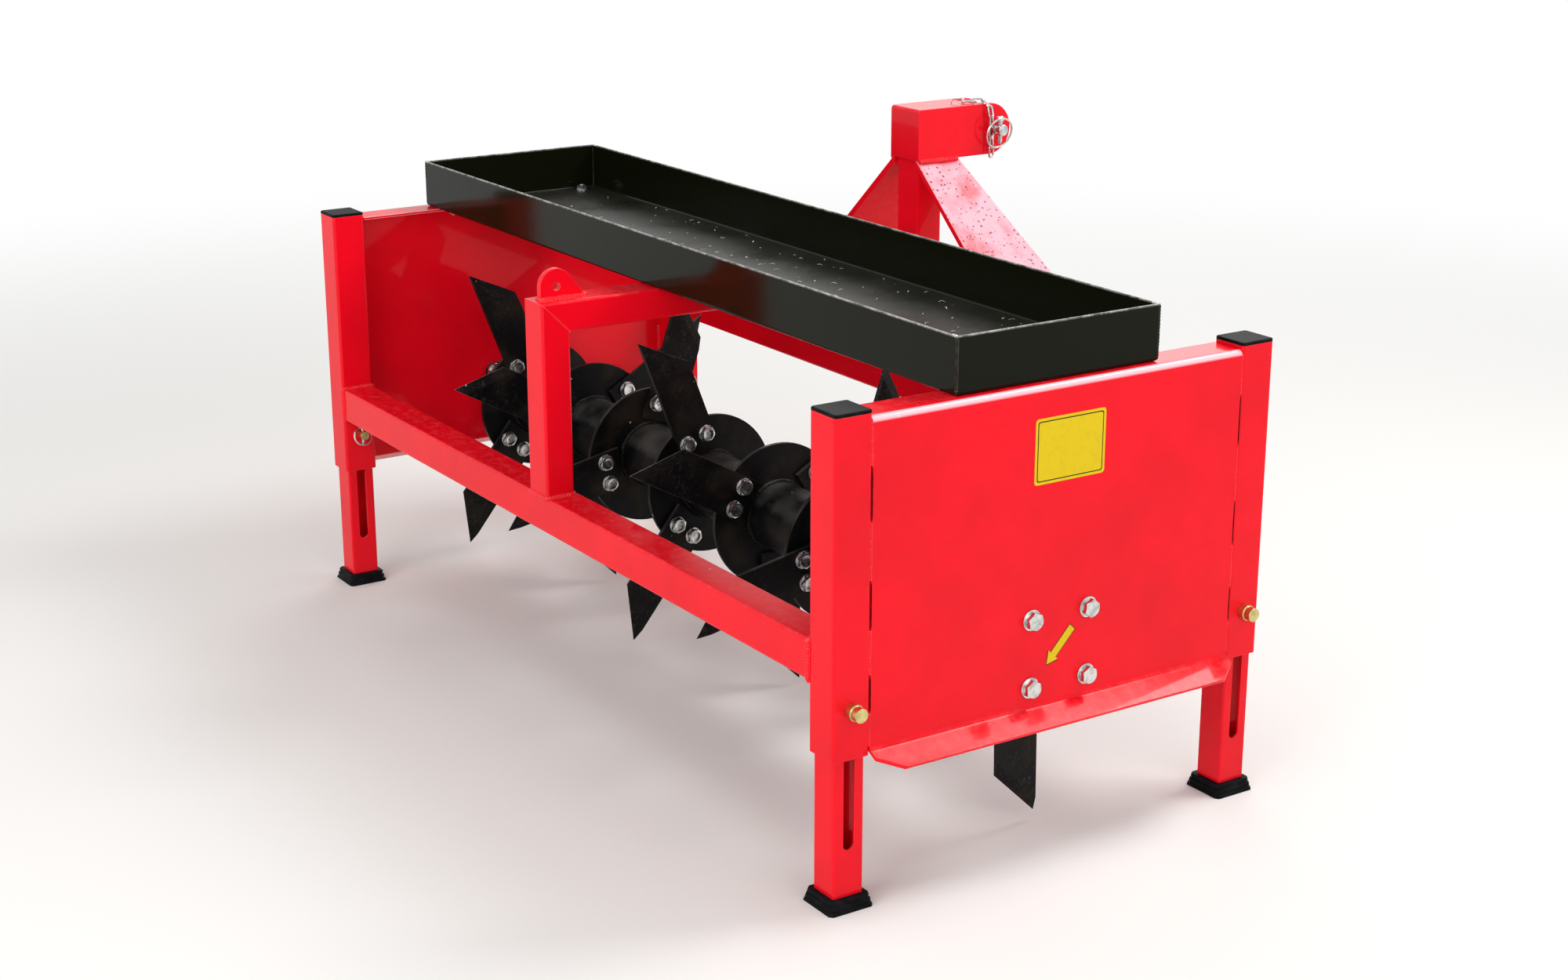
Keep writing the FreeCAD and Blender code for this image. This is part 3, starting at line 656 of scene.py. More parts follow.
def round_corners(low: Sequence[float], high: Sequence[float], corner: float, fixed: int,
                  level: float) -> list[Vector]:
    """Rectangle with round corners in a plane square to an axis.

    Args:
        low: Lowest corner of a box.
        high: Its highest corner.
        corner: Radius of the corners.
        fixed: Axis that the rectangle is square to.
        level: Place on that axis.

    Returns:
        Points round the rectangle.
    """
    a, b = [k for k in range(3) if k != fixed]
    middles = ((high[a] - corner, high[b] - corner, 0), (low[a] + corner, high[b] - corner, 90),
               (low[a] + corner, low[b] + corner, 180), (high[a] - corner, low[b] + corner, 270))
    points = []
    for mid_a, mid_b, start in middles:
        for k in range(4):
            turn = math.radians(start + 30 * k)
            spot = Vector((level, level, level))
            spot[a] = mid_a + corner * math.cos(turn)
            spot[b] = mid_b + corner * math.sin(turn)
            points.append(spot)
    return points


def even_points(route: Sequence[Vector], spacing: float) -> list[Vector]:
    """Points at an even spacing along a line of straight runs.

    Args:
        route: Corner points.
        spacing: Distance between the points, in metres.

    Returns:
        The points, from the route's start.
    """
    points = [route[0].copy()]
    left = spacing
    for one, two in zip(route, route[1:]):
        run = two - one
        done = 0.0
        while run.length - done >= left:
            done += left
            points.append(one + run.normalized() * done)
            left = spacing
        left -= run.length - done
    return points


@dataclass(frozen=True)
class Torch:
    """Hand-held welding torch: the steps that its beads are drawn in and their unevenness."""

    step_mm: float = 1.7
    steps_per_ripple: float = 3.0
    # shares of the bead's radius
    trough: float = 0.9
    ripple: float = 0.2
    drift: float = 0.05
    end: float = 0.35
    # how much of its drift a bead keeps from step to step
    drift_kept: float = 0.85


TORCH = Torch()


@dataclass
class Piece:
    """One piece of the object in the making: its mesh, its finishes and what it rides on."""

    # its own name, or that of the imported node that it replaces
    name: str
    # finishes in the order of the mesh's material numbers
    finishes: Sequence[Finish]
    body: Body = Body.FRAME
    # material slot of the record that its finish stands for, if the record has one; it is only kept with the
    # piece
    slot: Slot | None = None
    replaces_node: bool = False
    seed: int = 0
    mesh: bmesh.types.BMesh = field(init=False)
    dice: random.Random = field(init=False)

    def __post_init__(self) -> None:
        """Start with an empty mesh and fresh dice."""
        self.mesh = bmesh.new()
        self.dice = random.Random(self.seed)

    def bridge(self, rings: Sequence[Points], closed: bool = False, material: int = 0) -> None:
        """Join rings of points with quads, closing the ends with flat faces unless the chain is closed.

        Args:
            rings: Rings of equal length, in order.
            closed: Whether the last ring joins the first.
            material: Material number of the new faces.
        """
        made = [[self.mesh.verts.new(point) for point in ring] for ring in rings]
        after = made[1:] + made[:1] if closed else made[1:]
        count = len(made[0])
        faces = [(one[i], one[(i + 1) % count], two[(i + 1) % count], two[i])
                 for one, two in zip(made, after) for i in range(count)]
        if not closed:
            faces += [made[0][::-1], made[-1]]
        for face in faces:
            self.mesh.faces.new(face).material_index = material

    def lathe(self, stations: Sequence[tuple[float, float]], place: Matrix, sides: int) -> None:
        """Turn a profile about X.

        Args:
            stations: Place along X and radius, in millimetres, from one end to the other.
            place: Where the profile's own X axis goes.
            sides: Number of sides.
        """
        turns = [2 * math.pi * i / sides for i in range(sides)]
        self.bridge([[place @ (Vector((x, radius * math.cos(t), radius * math.sin(t))) * MM) for t in turns]
                     for x, radius in stations])

    def sweep(self, path: Sequence[Vector], radii_mm: Sequence[float], sides: int = 8,
              closed: bool = False, material: int = 0) -> None:
        """Round bar along a path.

        Args:
            path: Points of its middle line, in metres.
            radii_mm: One radius for each point.
            sides: Number of sides.
            closed: Whether the bar is a closed ring.
            material: Material number.
        """
        rings = []
        turns = [2 * math.pi * k / sides for k in range(sides)]
        side = Vector((0, 0, 1)) if abs((path[1] - path[0]).normalized().z) < 0.9 else Vector((1, 0, 0))
        last = len(path) - 1
        for i, point in enumerate(path):
            before = path[i - 1] if i > 0 or closed else path[i]
            after = path[(i + 1) % len(path)] if i < last or closed else path[i]
            run = (after - before).normalized()
            side = (side - run * side.dot(run)).normalized()
            over = run.cross(side)
            rings.append([point + (side * math.cos(t) + over * math.sin(t)) * radii_mm[i] * MM
                          for t in turns])
        self.bridge(rings, closed, material)

    def weld(self, path: Points, size_mm: float, closed: bool = False, material: int = 0) -> None:
        """Lay a weld bead along a seam.

        Args:
            path: Corner points of the seam, in metres.
            size_mm: Mean radius of the bead round the seam.
            closed: Whether the seam runs round and back to its start.
            material: Material number.
        """
        corners = [Vector(point) for point in path]
        if closed:
            corners.append(corners[0])
        points: list[Vector] = []
        for one, two in zip(corners, corners[1:]):
            count = max(1, round((two - one).length / (TORCH.step_mm * MM)))
            points += [one.lerp(two, i / count) for i in range(count)]
        if not closed:
            points.append(corners[-1])
        radii = []
        drift = 0.0
        for i in range(len(points)):
            drift = TORCH.drift_kept * drift + self.dice.uniform(-TORCH.drift, TORCH.drift)
            crest = abs(math.sin(math.pi * i / TORCH.steps_per_ripple))
            radii.append(size_mm * (TORCH.trough + TORCH.ripple * crest + drift))
        if not closed and len(radii) > 4:
            radii[0] *= TORCH.end
            radii[-1] *= TORCH.end
        if len(points) > 2:
            self.sweep(points, radii, 8, closed, material)

    def round_edges(self, round_mm: float, turn_degrees: float = SHARP_DEGREES) -> None:
        """Round the mesh's sharp edges.

        Args:
            round_mm: Radius of the rounding.
            turn_degrees: Edges that turn by more than this are sharp.
        """
        sharp = [e for e in self.mesh.edges
                 if len(e.link_faces) == 2 and e.calc_face_angle(0.0) > math.radians(turn_degrees)]
        bmesh.ops.bevel(self.mesh, geom=sharp, offset=round_mm * MM, offset_type="OFFSET", segments=2,
                        profile=0.5, affect="EDGES", clamp_overlap=True)

    def point_outwards(self) -> None:
        """Turn all faces of the mesh outwards."""
        bmesh.ops.recalc_face_normals(self.mesh, faces=self.mesh.faces)

    def finish(self) -> None:
        """Turn the mesh into an object that wears its finishes and rides on its body."""
        name = self.name + "_finished" if self.replaces_node else self.name
        data = bpy.data.meshes.new(name)
        self.mesh.to_mesh(data)
        self.mesh.free()
        for finish in self.finishes:
            data.materials.append(finish.material())
        for polygon in data.polygons:
            polygon.use_smooth = True
        data.set_sharp_from_angle(angle=math.radians(SHARP_DEGREES))
        piece = bpy.data.objects.new(name, data)
        bpy.context.scene.collection.objects.link(piece)
        normals = piece.modifiers.new("even normals", "WEIGHTED_NORMAL")
        normals.keep_sharp = True
        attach(piece, self.body.value)
        if self.replaces_node:
            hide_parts(self.name)
        LOG.info("%s: %d faces on %s", name, len(data.polygons), self.body.value)


@dataclass
class Machine:
    """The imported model's nodes, and the paints that wear round its rotor's axis."""

    nodes: dict[str, bpy.types.Object]
    rotor_paint: RotorPaint = field(init=False)
    housing_paint: RotorPaint = field(init=False)

    def __post_init__(self) -> None:
        """Find the rotor's axis and mix the two paints."""
        axis = tuple(middle_of("rotor_tube"))
        # thin paint keeps a satin sheen near the tube and is rubbed grey out at the blades' tips
        self.rotor_paint = RotorPaint("black rotor paint", base="#050506", roughness=0.34, axis=axis)
        # on a rough casting it is greyer and duller, and rubbed from the shaft out
        self.housing_paint = RotorPaint("black housing paint", base="#17181A", roughness=0.45, axis=axis,
                                        clean_radius_mm=0.0, worn_radius_mm=120.0)

    def soften(self, finish: Finish, slot: Slot, round_mm: float, *nodes: str,
               body: Body = Body.FRAME) -> None:
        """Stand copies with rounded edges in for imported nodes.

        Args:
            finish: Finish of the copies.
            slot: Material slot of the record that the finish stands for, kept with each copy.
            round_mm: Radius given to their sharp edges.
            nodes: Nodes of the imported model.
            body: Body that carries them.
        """
        for node in nodes:
            piece = Piece(node, [finish], body, slot, replaces_node=True)
            mesh = piece.mesh
            mesh.from_mesh(self.nodes[node].data)
            bmesh.ops.remove_doubles(mesh, verts=mesh.verts, dist=0.02 * MM)
            bmesh.ops.dissolve_limit(mesh, angle_limit=math.radians(0.5), verts=mesh.verts, edges=mesh.edges)
            piece.round_edges(round_mm)
            piece.finish()


@dataclass(frozen=True)
class HexBolt:
    """Hexagon bolt with washers and nut, along X. Its head's bearing face is at zero."""

    size_mm: float = 16.0
    flats_mm: float = 24.0
    head_mm: float = 10.0
    nut_mm: float = 13.0
    washer_radius_mm: float = 15.0
    washer_mm: float = 2.6
    stub_mm: float = 4.0
    cone_degrees: float = 30.0
    # circle left flat on an end as a share of the flats; rim, wall and floor of its dish as shares of it
    end_circle: float = 0.95
    dish_shares: tuple[float, float, float] = (0.78, 0.66, 0.3)
    dish_mm: float = 0.9

    def hexagon(self, piece: Piece, place: Matrix, start_mm: float, high_mm: float) -> None:
        """Hexagonal prism whose outer end is turned to a cone and dished, as on forged heads and nuts.

        Args:
            piece: Piece that gets it.
            place: Place and direction of the bolt.
            start_mm: Where it starts along the bolt.
            high_mm: Its height, negative towards -X.
        """
        flat = self.flats_mm / 2
        circle = flat * self.end_circle
        rim, wall, floor = (circle * share for share in self.dish_shares)
        way = 1.0 if high_mm > 0 else -1.0
        end = start_mm + high_mm
        hollow = end - self.dish_mm * way
        rings: list[list[Vector]] = [[] for _ in range(6)]
        for i in range(24):
            turn = math.radians(15 * i) * way
            reach = flat / math.cos(math.radians((15 * i) % 60 - 30))
            drop = (reach - circle) * math.tan(math.radians(self.cone_degrees)) * way
            # place along the bolt and radius
            profile = ((start_mm, reach), (end - drop, reach), (end, circle), (end, rim), (hollow, wall),
                       (hollow, floor))
            for ring, (x, radius) in zip(rings, profile):
                ring.append(place @ (Vector((x, radius * math.cos(turn), radius * math.sin(turn))) * MM))
        piece.bridge(rings)

    def build(self, piece: Piece, place: Matrix, grip_mm: float) -> None:
        """Add a whole bolt.

        Args:
            piece: Piece that gets it.
            place: Place and direction of the bolt, its head's washer on the surface at zero.
            grip_mm: Thickness of what it holds together, towards -X.
        """
        w, r, half = self.washer_mm, self.washer_radius_mm, self.size_mm / 2
        # washers with stamped, slightly rounded edges, and a thread that ends in a turned bevel
        piece.lathe(((0, r - 0.4), (0.4, r), (w - 0.5, r), (w, r - 0.7)), place, 28)
        self.hexagon(piece, place, w, self.head_mm - w)
        back = -grip_mm - w
        piece.lathe(((back, r - 0.7), (back + 0.5, r), (-grip_mm, r)), place, 28)
        self.hexagon(piece, place, back, w - self.nut_mm)
        end = -grip_mm - self.nut_mm
        tip = end - self.stub_mm
        piece.lathe(((tip, half - 1.5), (tip + 1.5, half), (end + 1, half)), place, 20)


@dataclass(frozen=True)
class LinchPin:
    """A short pin through a shaft with a spring ring that snaps round the shaft's end."""

    ring_radius_mm: float = 25.0
    wire_mm: float = 3.6
    shank_mm: float = 8.0
    shank_length_mm: float = 44.0
    head_mm: float = 7.0
    tilt_degrees: float = 14.0
    # the ring's hole in the head, below its top, and the ring's sag on it as a share of its radius
    hole_mm: float = 4.0
    sag: float = 0.92

    def build(self, piece: Piece, centre: Vector, way: float) -> None:
        """Add the pin, its shank upright through a shaft along X.

        Args:
            piece: Piece that gets it.
            centre: Middle of the shaft where the pin crosses it.
            way: Side of the shaft's end, 1 towards +X and -1 towards -X.
        """
        half, thick = self.shank_length_mm / 2, self.shank_mm / 2
        neck = half - self.head_mm
        stations = ((-half - 2, thick * 0.5), (-half + 2, thick), (neck, thick), (neck, thick * 1.5),
                    (half, thick * 1.5), (half + 1.5, thick * 1.2))
        piece.lathe(stations, Matrix.Translation(centre) @ UPRIGHT, 16)
        lean = math.radians(self.tilt_degrees) * way
        up = Vector((math.sin(lean), 0, math.cos(lean)))
        middle = centre + up * (half - self.hole_mm - self.ring_radius_mm * self.sag) * MM
        path = ring_path(middle, self.ring_radius_mm * MM, FORWARD, up, 40)
        piece.sweep(path, [self.wire_mm / 2] * len(path), 8, True)


@dataclass
class WeldedFrame:
    """Posts, beams, side plates, upright, spine and lifting eye, with their welds."""

    machine: Machine
    bead_mm: float = 4.2
    eye_bead_mm: float = 4.6
    # how far a bead's middle stands off the post, so that it stays out of the leg's way inside
    stand_off_mm: float = 1.8
    corner_mm: float = 5.0
    # the mitre's seam: radius, depth of its middle in the tubes' sides and distance from the corner
    mitre_mm: tuple[float, float, float] = (2.6, 2.2, 4.0)
    # stitches between plate and posts: lowest and highest point above the posts' lower ends
    stitches_mm: tuple[tuple[float, float], ...] = ((12, 62), (116, 181), (250, 334), (410, 472))
    # depth of a stitch's middle in the groove and its radius, and those of the run under it
    stitch_mm: tuple[float, float] = (3.4, 3.6)
    root_run_mm: tuple[float, float] = (5.5, 4.0)
    # open joints: pieces they are drawn in, gap to the stitches, half width at an end and between
    joint_pieces: int = 12
    joint_gap_mm: float = 2.0
    joint_end_mm: float = 0.35
    joint_wide_mm: tuple[float, float] = (0.7, 1.15)

    def build(self) -> None:
        """Dress the tubes and plates and add the welds between them."""
        soften = self.machine.soften
        soften(RED, Slot.RED_PAINT, 0.7, "post_rear_left", "post_rear_right", "post_front_left",
               "post_front_right", "rear_beam", "front_beam", "rear_upright", "top_spine", "mast_tube")
        # the same red skin, with a painted highlight along the sheet's fold at the top
        folded = FoldedCoat("red powder coat on folded sheet", base="#F00A20", roughness=0.22,
                            fold_high=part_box("side_plate_left")[1].z)
        soften(folded, Slot.RED_PAINT, 1.0, "side_plate_left", "side_plate_right")
        soften(RED, Slot.RED_PAINT, 1.4, "lifting_eye")
        soften(PLASTIC, Slot.BLACK_CAP, 0.7, "post_caps")
        self.add_beam_welds()
        self.add_stitches()
        self.add_open_joints()

    def add_beam_welds(self) -> None:
        """Seams round the ends of beams, upright, spine, mast tube and lifting eye."""
        piece = Piece("frame_welds", [RED_WELD], slot=Slot.RED_PAINT, seed=11)
        corner = self.corner_mm * MM
        off = self.stand_off_mm * MM
        for node in ("rear_beam", "front_beam"):
            low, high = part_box(node)
            for level in (low.x + off, high.x - off):
                piece.weld(round_corners(low, high, corner, 0, level), self.bead_mm, True)
        for node in ("rear_upright", "mast_tube"):
            low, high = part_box(node)
            piece.weld(round_corners(low, high, corner, 2, low.z), self.bead_mm, True)
        low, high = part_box("top_spine")
        piece.weld(round_corners(low, high, corner, 1, high.y), self.bead_mm, True)
        self.add_mitre(piece, low, high)
        low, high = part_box("lifting_eye")
        foot = ((low.x, low.y, low.z), (high.x, low.y, low.z), (high.x, high.y, low.z),
                (low.x, high.y, low.z))
        piece.weld(foot, self.eye_bead_mm, True)
        piece.finish()

    def add_mitre(self, piece: Piece, low: Vector, high: Vector) -> None:
        """Flush seam across the mitre between upright and spine.

        Args:
            piece: Piece that gets the seam.
            low: Lowest corner of the spine.
            high: Its highest corner.
        """
        size_mm, sink_mm, inset_mm = self.mitre_mm
        sink, inset = sink_mm * MM, inset_mm * MM
        heel = low.y + high.z - low.z
        for x in (low.x + sink, high.x - sink):
            piece.weld(((x, low.y + inset, high.z - inset), (x, heel, low.z)), size_mm)
        piece.weld(((low.x + inset, heel, low.z), (high.x - inset, heel, low.z)), self.bead_mm)

    def add_stitches(self) -> None:
        """Short seams that fill the groove between the side plates and the posts."""
        piece = Piece("stitch_welds", [RED_WELD], slot=Slot.RED_PAINT, seed=12)
        # the two middle stitches are laid over a first run at the root of the groove
        runs = ((self.stitch_mm, self.stitches_mm), (self.root_run_mm, self.stitches_mm[1:3]))
        for side, way in SIDES:
            low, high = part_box("side_plate_" + side)
            outer = outer_face("post_rear_" + side, way)
            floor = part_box("post_rear_" + side)[0].z
            for y in (low.y, high.y):
                for (deep_mm, size_mm), stitches in runs:
                    x = outer - way * deep_mm * MM
                    for z0, z1 in stitches:
                        piece.weld(((x, y, floor + z0 * MM), (x, y, floor + z1 * MM)), size_mm)
        piece.finish()

    def add_open_joints(self) -> None:
        """Painted shade of the open joint between the stitches: a dark line on both outer faces."""
        piece = Piece("open_joints", [SHADOW_GAP], seed=13)
        gaps = [(one[1] + self.joint_gap_mm, two[0] - self.joint_gap_mm)
                for one, two in zip(self.stitches_mm, self.stitches_mm[1:])]
        # how far each corner of the line's section stands off the post, and its side as a share
        section = ((0.02, -1), (0.02, 1), (0.25, 0.8), (0.25, -0.8))
        last = self.joint_pieces
        for side, way in SIDES:
            low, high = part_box("side_plate_" + side)
            outer = outer_face("post_rear_" + side, way)
            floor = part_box("post_rear_" + side)[0].z
            for y in (low.y, high.y):
                for z0, z1 in gaps:
                    levels = [z0 + (z1 - z0) * k / last for k in range(last + 1)]
                    between = [piece.dice.uniform(*self.joint_wide_mm) for _ in range(last - 1)]
                    widths = [self.joint_end_mm, *between, self.joint_end_mm]
                    piece.bridge([[(outer + way * off * MM, y + across * wide * MM, floor + z * MM)
                                   for off, across in section] for z, wide in zip(levels, widths)])
        piece.point_outwards()
        piece.finish()


@dataclass
class HitchMast:
    """Mast head, braces, upper hitch pin with linch pin and chain, lower lugs and pins."""

    machine: Machine
    bead_mm: float = 4.4
    roof_bead_mm: float = 3.6
    cheek_thick_mm: float = 10.0
    # the cheek's seam: ends behind and past the mast tube, and depth under the head's roof
    cheek_seam_mm: tuple[float, float, float] = (6.0, 25.0, 1.0)
    # depth of the tube's own seam under that roof
    tube_seam_mm: float = 12.0
    # faces of a pair of lugs, inwards from the outermost one
    lug_faces_mm: tuple[float, ...] = (0.0, 12.0, 70.0, 82.0)
    lug_inset_mm: float = 4.0
    upper_ring_mm: float = 26.0
    # middle of a linch pin from the end of its shaft
    upper_pin_end_mm: float = 11.0
    lower_pin_end_mm: float = 13.0
    link_mm: float = 24.0
    link_wide_mm: float = 11.5
    link_wire_mm: float = 3.4
    # the chain's line, from the mast head's upper right-hand edge, 46 mm behind its front end
    chain_back_mm: float = 46.0
    chain_mm: tuple[tuple[float, float, float], ...] = (
        (-34, -52, 3), (-18, -30, 4), (1, -6, 4), (8, -1, -10), (8, 0, -50), (8, 1, -104))

    def build(self) -> None:
        """Dress the mast and hitch."""
        soften = self.machine.soften
        soften(RED, Slot.RED_PAINT, 1.2, "mast_head", "hitch_lugs_left", "hitch_lugs_right")
        # the right brace gets a painted sky reflection on its upper faces; the left one, in shade, only a
        # trace of it
        soften(RED_FAINT_SKY_REFLECTION, Slot.RED_PAINT, 1.2, "brace_left")
        soften(RED_SKY_REFLECTION, Slot.RED_PAINT, 1.2, "brace_right")
        soften(ZINC, Slot.ZINC_BOLT, 1.5, "top_link_pin")
        soften(CHROMATE, Slot.YELLOW_ZINC, 1.5, "hitch_pin_left", "hitch_pin_right")
        self.add_welds()
        self.add_linch_pins()
        self.add_chain()

    def add_welds(self) -> None:
        """Seams along the braces, the head and the lugs."""
        piece = Piece("hitch_welds", [RED_WELD], slot=Slot.RED_PAINT, seed=21)
        mast_low, mast_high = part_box("mast_tube")
        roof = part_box("mast_head")[0].z
        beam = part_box("front_beam")[1]
        behind, past, under = (size * MM for size in self.cheek_seam_mm)
        level = roof - self.tube_seam_mm * MM
        for side, way in SIDES:
            # foot of the brace, then its upper end under the head's cheek, then the cheek on the tube
            foot, tube = outer_face("brace_" + side, way), outer_face("mast_tube", way)
            cheek = tube + way * self.cheek_thick_mm * MM
            seams = [((foot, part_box("brace_" + side)[0].y, beam.z), (foot, beam.y, beam.z)),
                     ((cheek, mast_low.y - behind, roof - under), (cheek, mast_high.y + past, roof - under)),
                     ((tube, mast_low.y, level), (tube, mast_high.y, level))]
            outer = outer_face("hitch_lugs_" + side, way)
            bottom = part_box("hitch_lugs_" + side)[0].z + self.lug_inset_mm * MM
            for inward_mm in self.lug_faces_mm:
                x = outer - way * inward_mm * MM
                seams.append(((x, beam.y, bottom), (x, beam.y, beam.z - self.lug_inset_mm * MM)))
            for seam in seams:
                piece.weld(seam, self.bead_mm)
        for x in (mast_low.x, mast_high.x):
            piece.weld(((x, mast_low.y, roof), (x, mast_high.y, roof)), self.roof_bead_mm)
        piece.finish()

    def add_linch_pins(self) -> None:
        """Linch pins through the ends of the upper hitch pin and the lower pins."""
        piece = Piece("linch_pins", [ZINC], slot=Slot.ZINC_BOLT)
        upper, lower = LinchPin(ring_radius_mm=self.upper_ring_mm), LinchPin()
        for node, way, pin, end_mm in (("top_link_pin", 1.0, upper, self.upper_pin_end_mm),
                                       ("hitch_pin_left", -1.0, lower, self.lower_pin_end_mm),
                                       ("hitch_pin_right", 1.0, lower, self.lower_pin_end_mm)):
            spot = middle_of(node)
            spot.x = outer_face(node, way) - way * end_mm * MM
            pin.build(piece, spot, way)
        piece.finish()

    def add_chain(self) -> None:
        """Short keeper chain from the mast head's roof over the right-hand cheek."""
        piece = Piece("keeper_chain", [ZINC], slot=Slot.ZINC_BOLT)
        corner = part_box("mast_head")[1] - FORWARD * self.chain_back_mm * MM
        spots = even_points([corner + Vector(spot) * MM for spot in self.chain_mm],
                            (self.link_mm - 2 * self.link_wire_mm) * MM)
        for i, (one, two) in enumerate(zip(spots, spots[1:])):
            self.add_link(piece, one, two, i % 2 == 0)
        piece.finish()

    def add_link(self, piece: Piece, one: Vector, two: Vector, flat: bool) -> None:
        """One welded link of the chain.

        Args:
            piece: Piece that gets it.
            one: Where it holds the link before it.
            two: Where it holds the next one.
            flat: Whether it lies a quarter turn from its neighbours.
        """
        run = (two - one).normalized()
        other = Vector((1, 0, 0)) if abs(run.x) < 0.8 else Vector((0, 0, 1))
        side = (other - run * other.dot(run)).normalized()
        if flat:
            side = run.cross(side)
        half_wide = (self.link_wide_mm - self.link_wire_mm) / 2 * MM
        half_long = (self.link_mm - self.link_wide_mm) / 2 * MM
        middle = (one + two) / 2
        path = ring_path(middle + run * half_long, half_wide, side, run, 7, 0.0, math.pi)
        path += ring_path(middle - run * half_long, half_wide, side, run, 7, math.pi, math.pi)
        piece.sweep(path, [self.link_wire_mm / 2] * len(path), 6, True)


@dataclass
class BallastTray:
    """Open sheet tray with welded corners, four bolts in its floor and dried clippings."""

    machine: Machine
    sheet_mm: float = 3.0
    flange_mm: float = 5.0
    bolt: HexBolt = HexBolt(size_mm=10.0, flats_mm=17.0, head_mm=9.0, nut_mm=10.0, washer_radius_mm=15.0,
                            washer_mm=2.2, stub_mm=3.0)
    bolt_from_end_mm: float = 26.0
    bolt_from_side_mm: float = 42.0
    seam_mm: float = 2.4
    seam_inset_mm: float = 1.6
    # how far a seam's ends keep from the tray's underside and from its rim
    seam_ends_mm: tuple[float, float] = (6.0, 0.5)
    # the heap at a seam's upper end: radius, start off the seam and under the rim, and its line on
    heap_mm: float = 2.3
    heap_start_mm: tuple[float, float] = (0.6, 1.4)
    heap_path_mm: tuple[tuple[float, float, float], ...] = ((0, 0, 0), (10, 0, 0.4), (12, 1, -1))
    clippings: int = 150
    clipping_long_mm: tuple[float, float] = (2.5, 11.0)
    clipping_wide_mm: tuple[float, float] = (0.5, 1.5)
    clipping_rise_mm: tuple[float, float] = (0.2, 2.0)
    clipping_high_mm: float = 0.4
    clipping_inset_mm: float = 12.0
    # places along X, in metres, round which they lie densest
    clipping_drifts: tuple[float, float] = (-0.3, 0.35)
    # the further below 1, the more of them lie along the front and rear walls
    clipping_spread: float = 0.8
    low: Vector = field(init=False)
    high: Vector = field(init=False)
    enamel: TrayEnamel = field(init=False)

    def __post_init__(self) -> None:
        """Find the tray's corners and mix the enamel that is worn along its rim."""
        self.low, self.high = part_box("ballast_tray")
        # enamel flows out smooth: deep black with clear reflections, dulled where dust lies on it
        # the olive tint of the black is a painted reflection of grass
        self.enamel = TrayEnamel("black gloss enamel", base="#101207", roughness=0.13, rim_high=self.high.z)

    def build(self) -> None:
        """Dress the tray and add its welds, bolts and clippings."""
        self.machine.soften(self.enamel, Slot.BLACK_GLOSS, 0.7, "ballast_tray")
        self.add_corner_welds()
        self.add_bolts()
        self.add_clippings()

    def add_corner_welds(self) -> None:
        """Upright seams at the corners, heaped up and rubbed bright where they end at the rim."""
        piece = Piece("tray_welds", [self.enamel, BARE_STEEL], slot=Slot.BLACK_GLOSS, seed=31)
        inset = self.seam_inset_mm * MM
        bottom, top = self.low.z + self.seam_ends_mm[0] * MM, self.high.z - self.seam_ends_mm[1] * MM
        inward, under = (size * MM for size in self.heap_start_mm)
        for x, side in ((self.low.x, 1.0), (self.high.x, -1.0)):
            for y, way in ((self.low.y, 1.0), (self.high.y, -1.0)):
                spot = Vector((x + side * inset, y + way * inset, 0))
                piece.weld((spot + UP * bottom, spot + UP * top), self.seam_mm)
                start = spot + Vector((side * inward, way * inward, self.high.z - under))
                heap = [start + Vector((side * along, way * across, rise)) * MM
                        for along, across, rise in self.heap_path_mm]
                piece.weld(heap, self.heap_mm, material=1)
        piece.finish()

    def add_bolts(self) -> None:
        """Bolts through the tray's floor into the flanges of the side plates."""
        piece = Piece("tray_bolts", [ZINC], slot=Slot.ZINC_BOLT)
        from_end, from_side = self.bolt_from_end_mm * MM, self.bolt_from_side_mm * MM
        for x in (self.low.x + from_end, self.high.x - from_end):
            for y in (self.low.y + from_side, self.high.y - from_side):
                place = Matrix.Translation((x, y, self.low.z + self.sheet_mm * MM)) @ UPRIGHT
                self.bolt.build(piece, place, self.sheet_mm + self.flange_mm)
        piece.finish()

    def add_clippings(self) -> None:
        """Dried grass clippings scattered on the floor, denser in the middle and along the walls."""
        piece = Piece("grass_clippings", [CLIPPINGS], seed=32)
        dice = piece.dice
        inset, thick = self.clipping_inset_mm * MM, UP * self.clipping_high_mm * MM
        floor = self.low.z + (self.sheet_mm + self.clipping_high_mm) * MM
        deep = self.high.y - self.low.y - 2 * inset
        for _ in range(self.clippings):
            x = dice.triangular(self.low.x + inset, self.high.x - inset, dice.choice(self.clipping_drifts))
            y = self.low.y + inset + deep * dice.betavariate(self.clipping_spread, self.clipping_spread)
            long, wide = dice.uniform(*self.clipping_long_mm) * MM, dice.uniform(*self.clipping_wide_mm) * MM
            turn = dice.uniform(0, math.pi)
            run = Vector((math.cos(turn), math.sin(turn), 0))
            side = Vector((-run.y, run.x, 0)) * wide
            rise = dice.uniform(*self.clipping_rise_mm) * MM
            rings = []
            for share in (-0.5, 0.0, 0.5):
                # arched, and narrower towards both ends
                spot = Vector((x, y, floor)) + run * long * share + UP * rise * (1 - 4 * share * share)
                width = side * (1.0 - 0.7 * abs(share))
                rings.append([spot + width, spot + thick, spot - width])
            piece.bridge(rings)
        piece.finish()


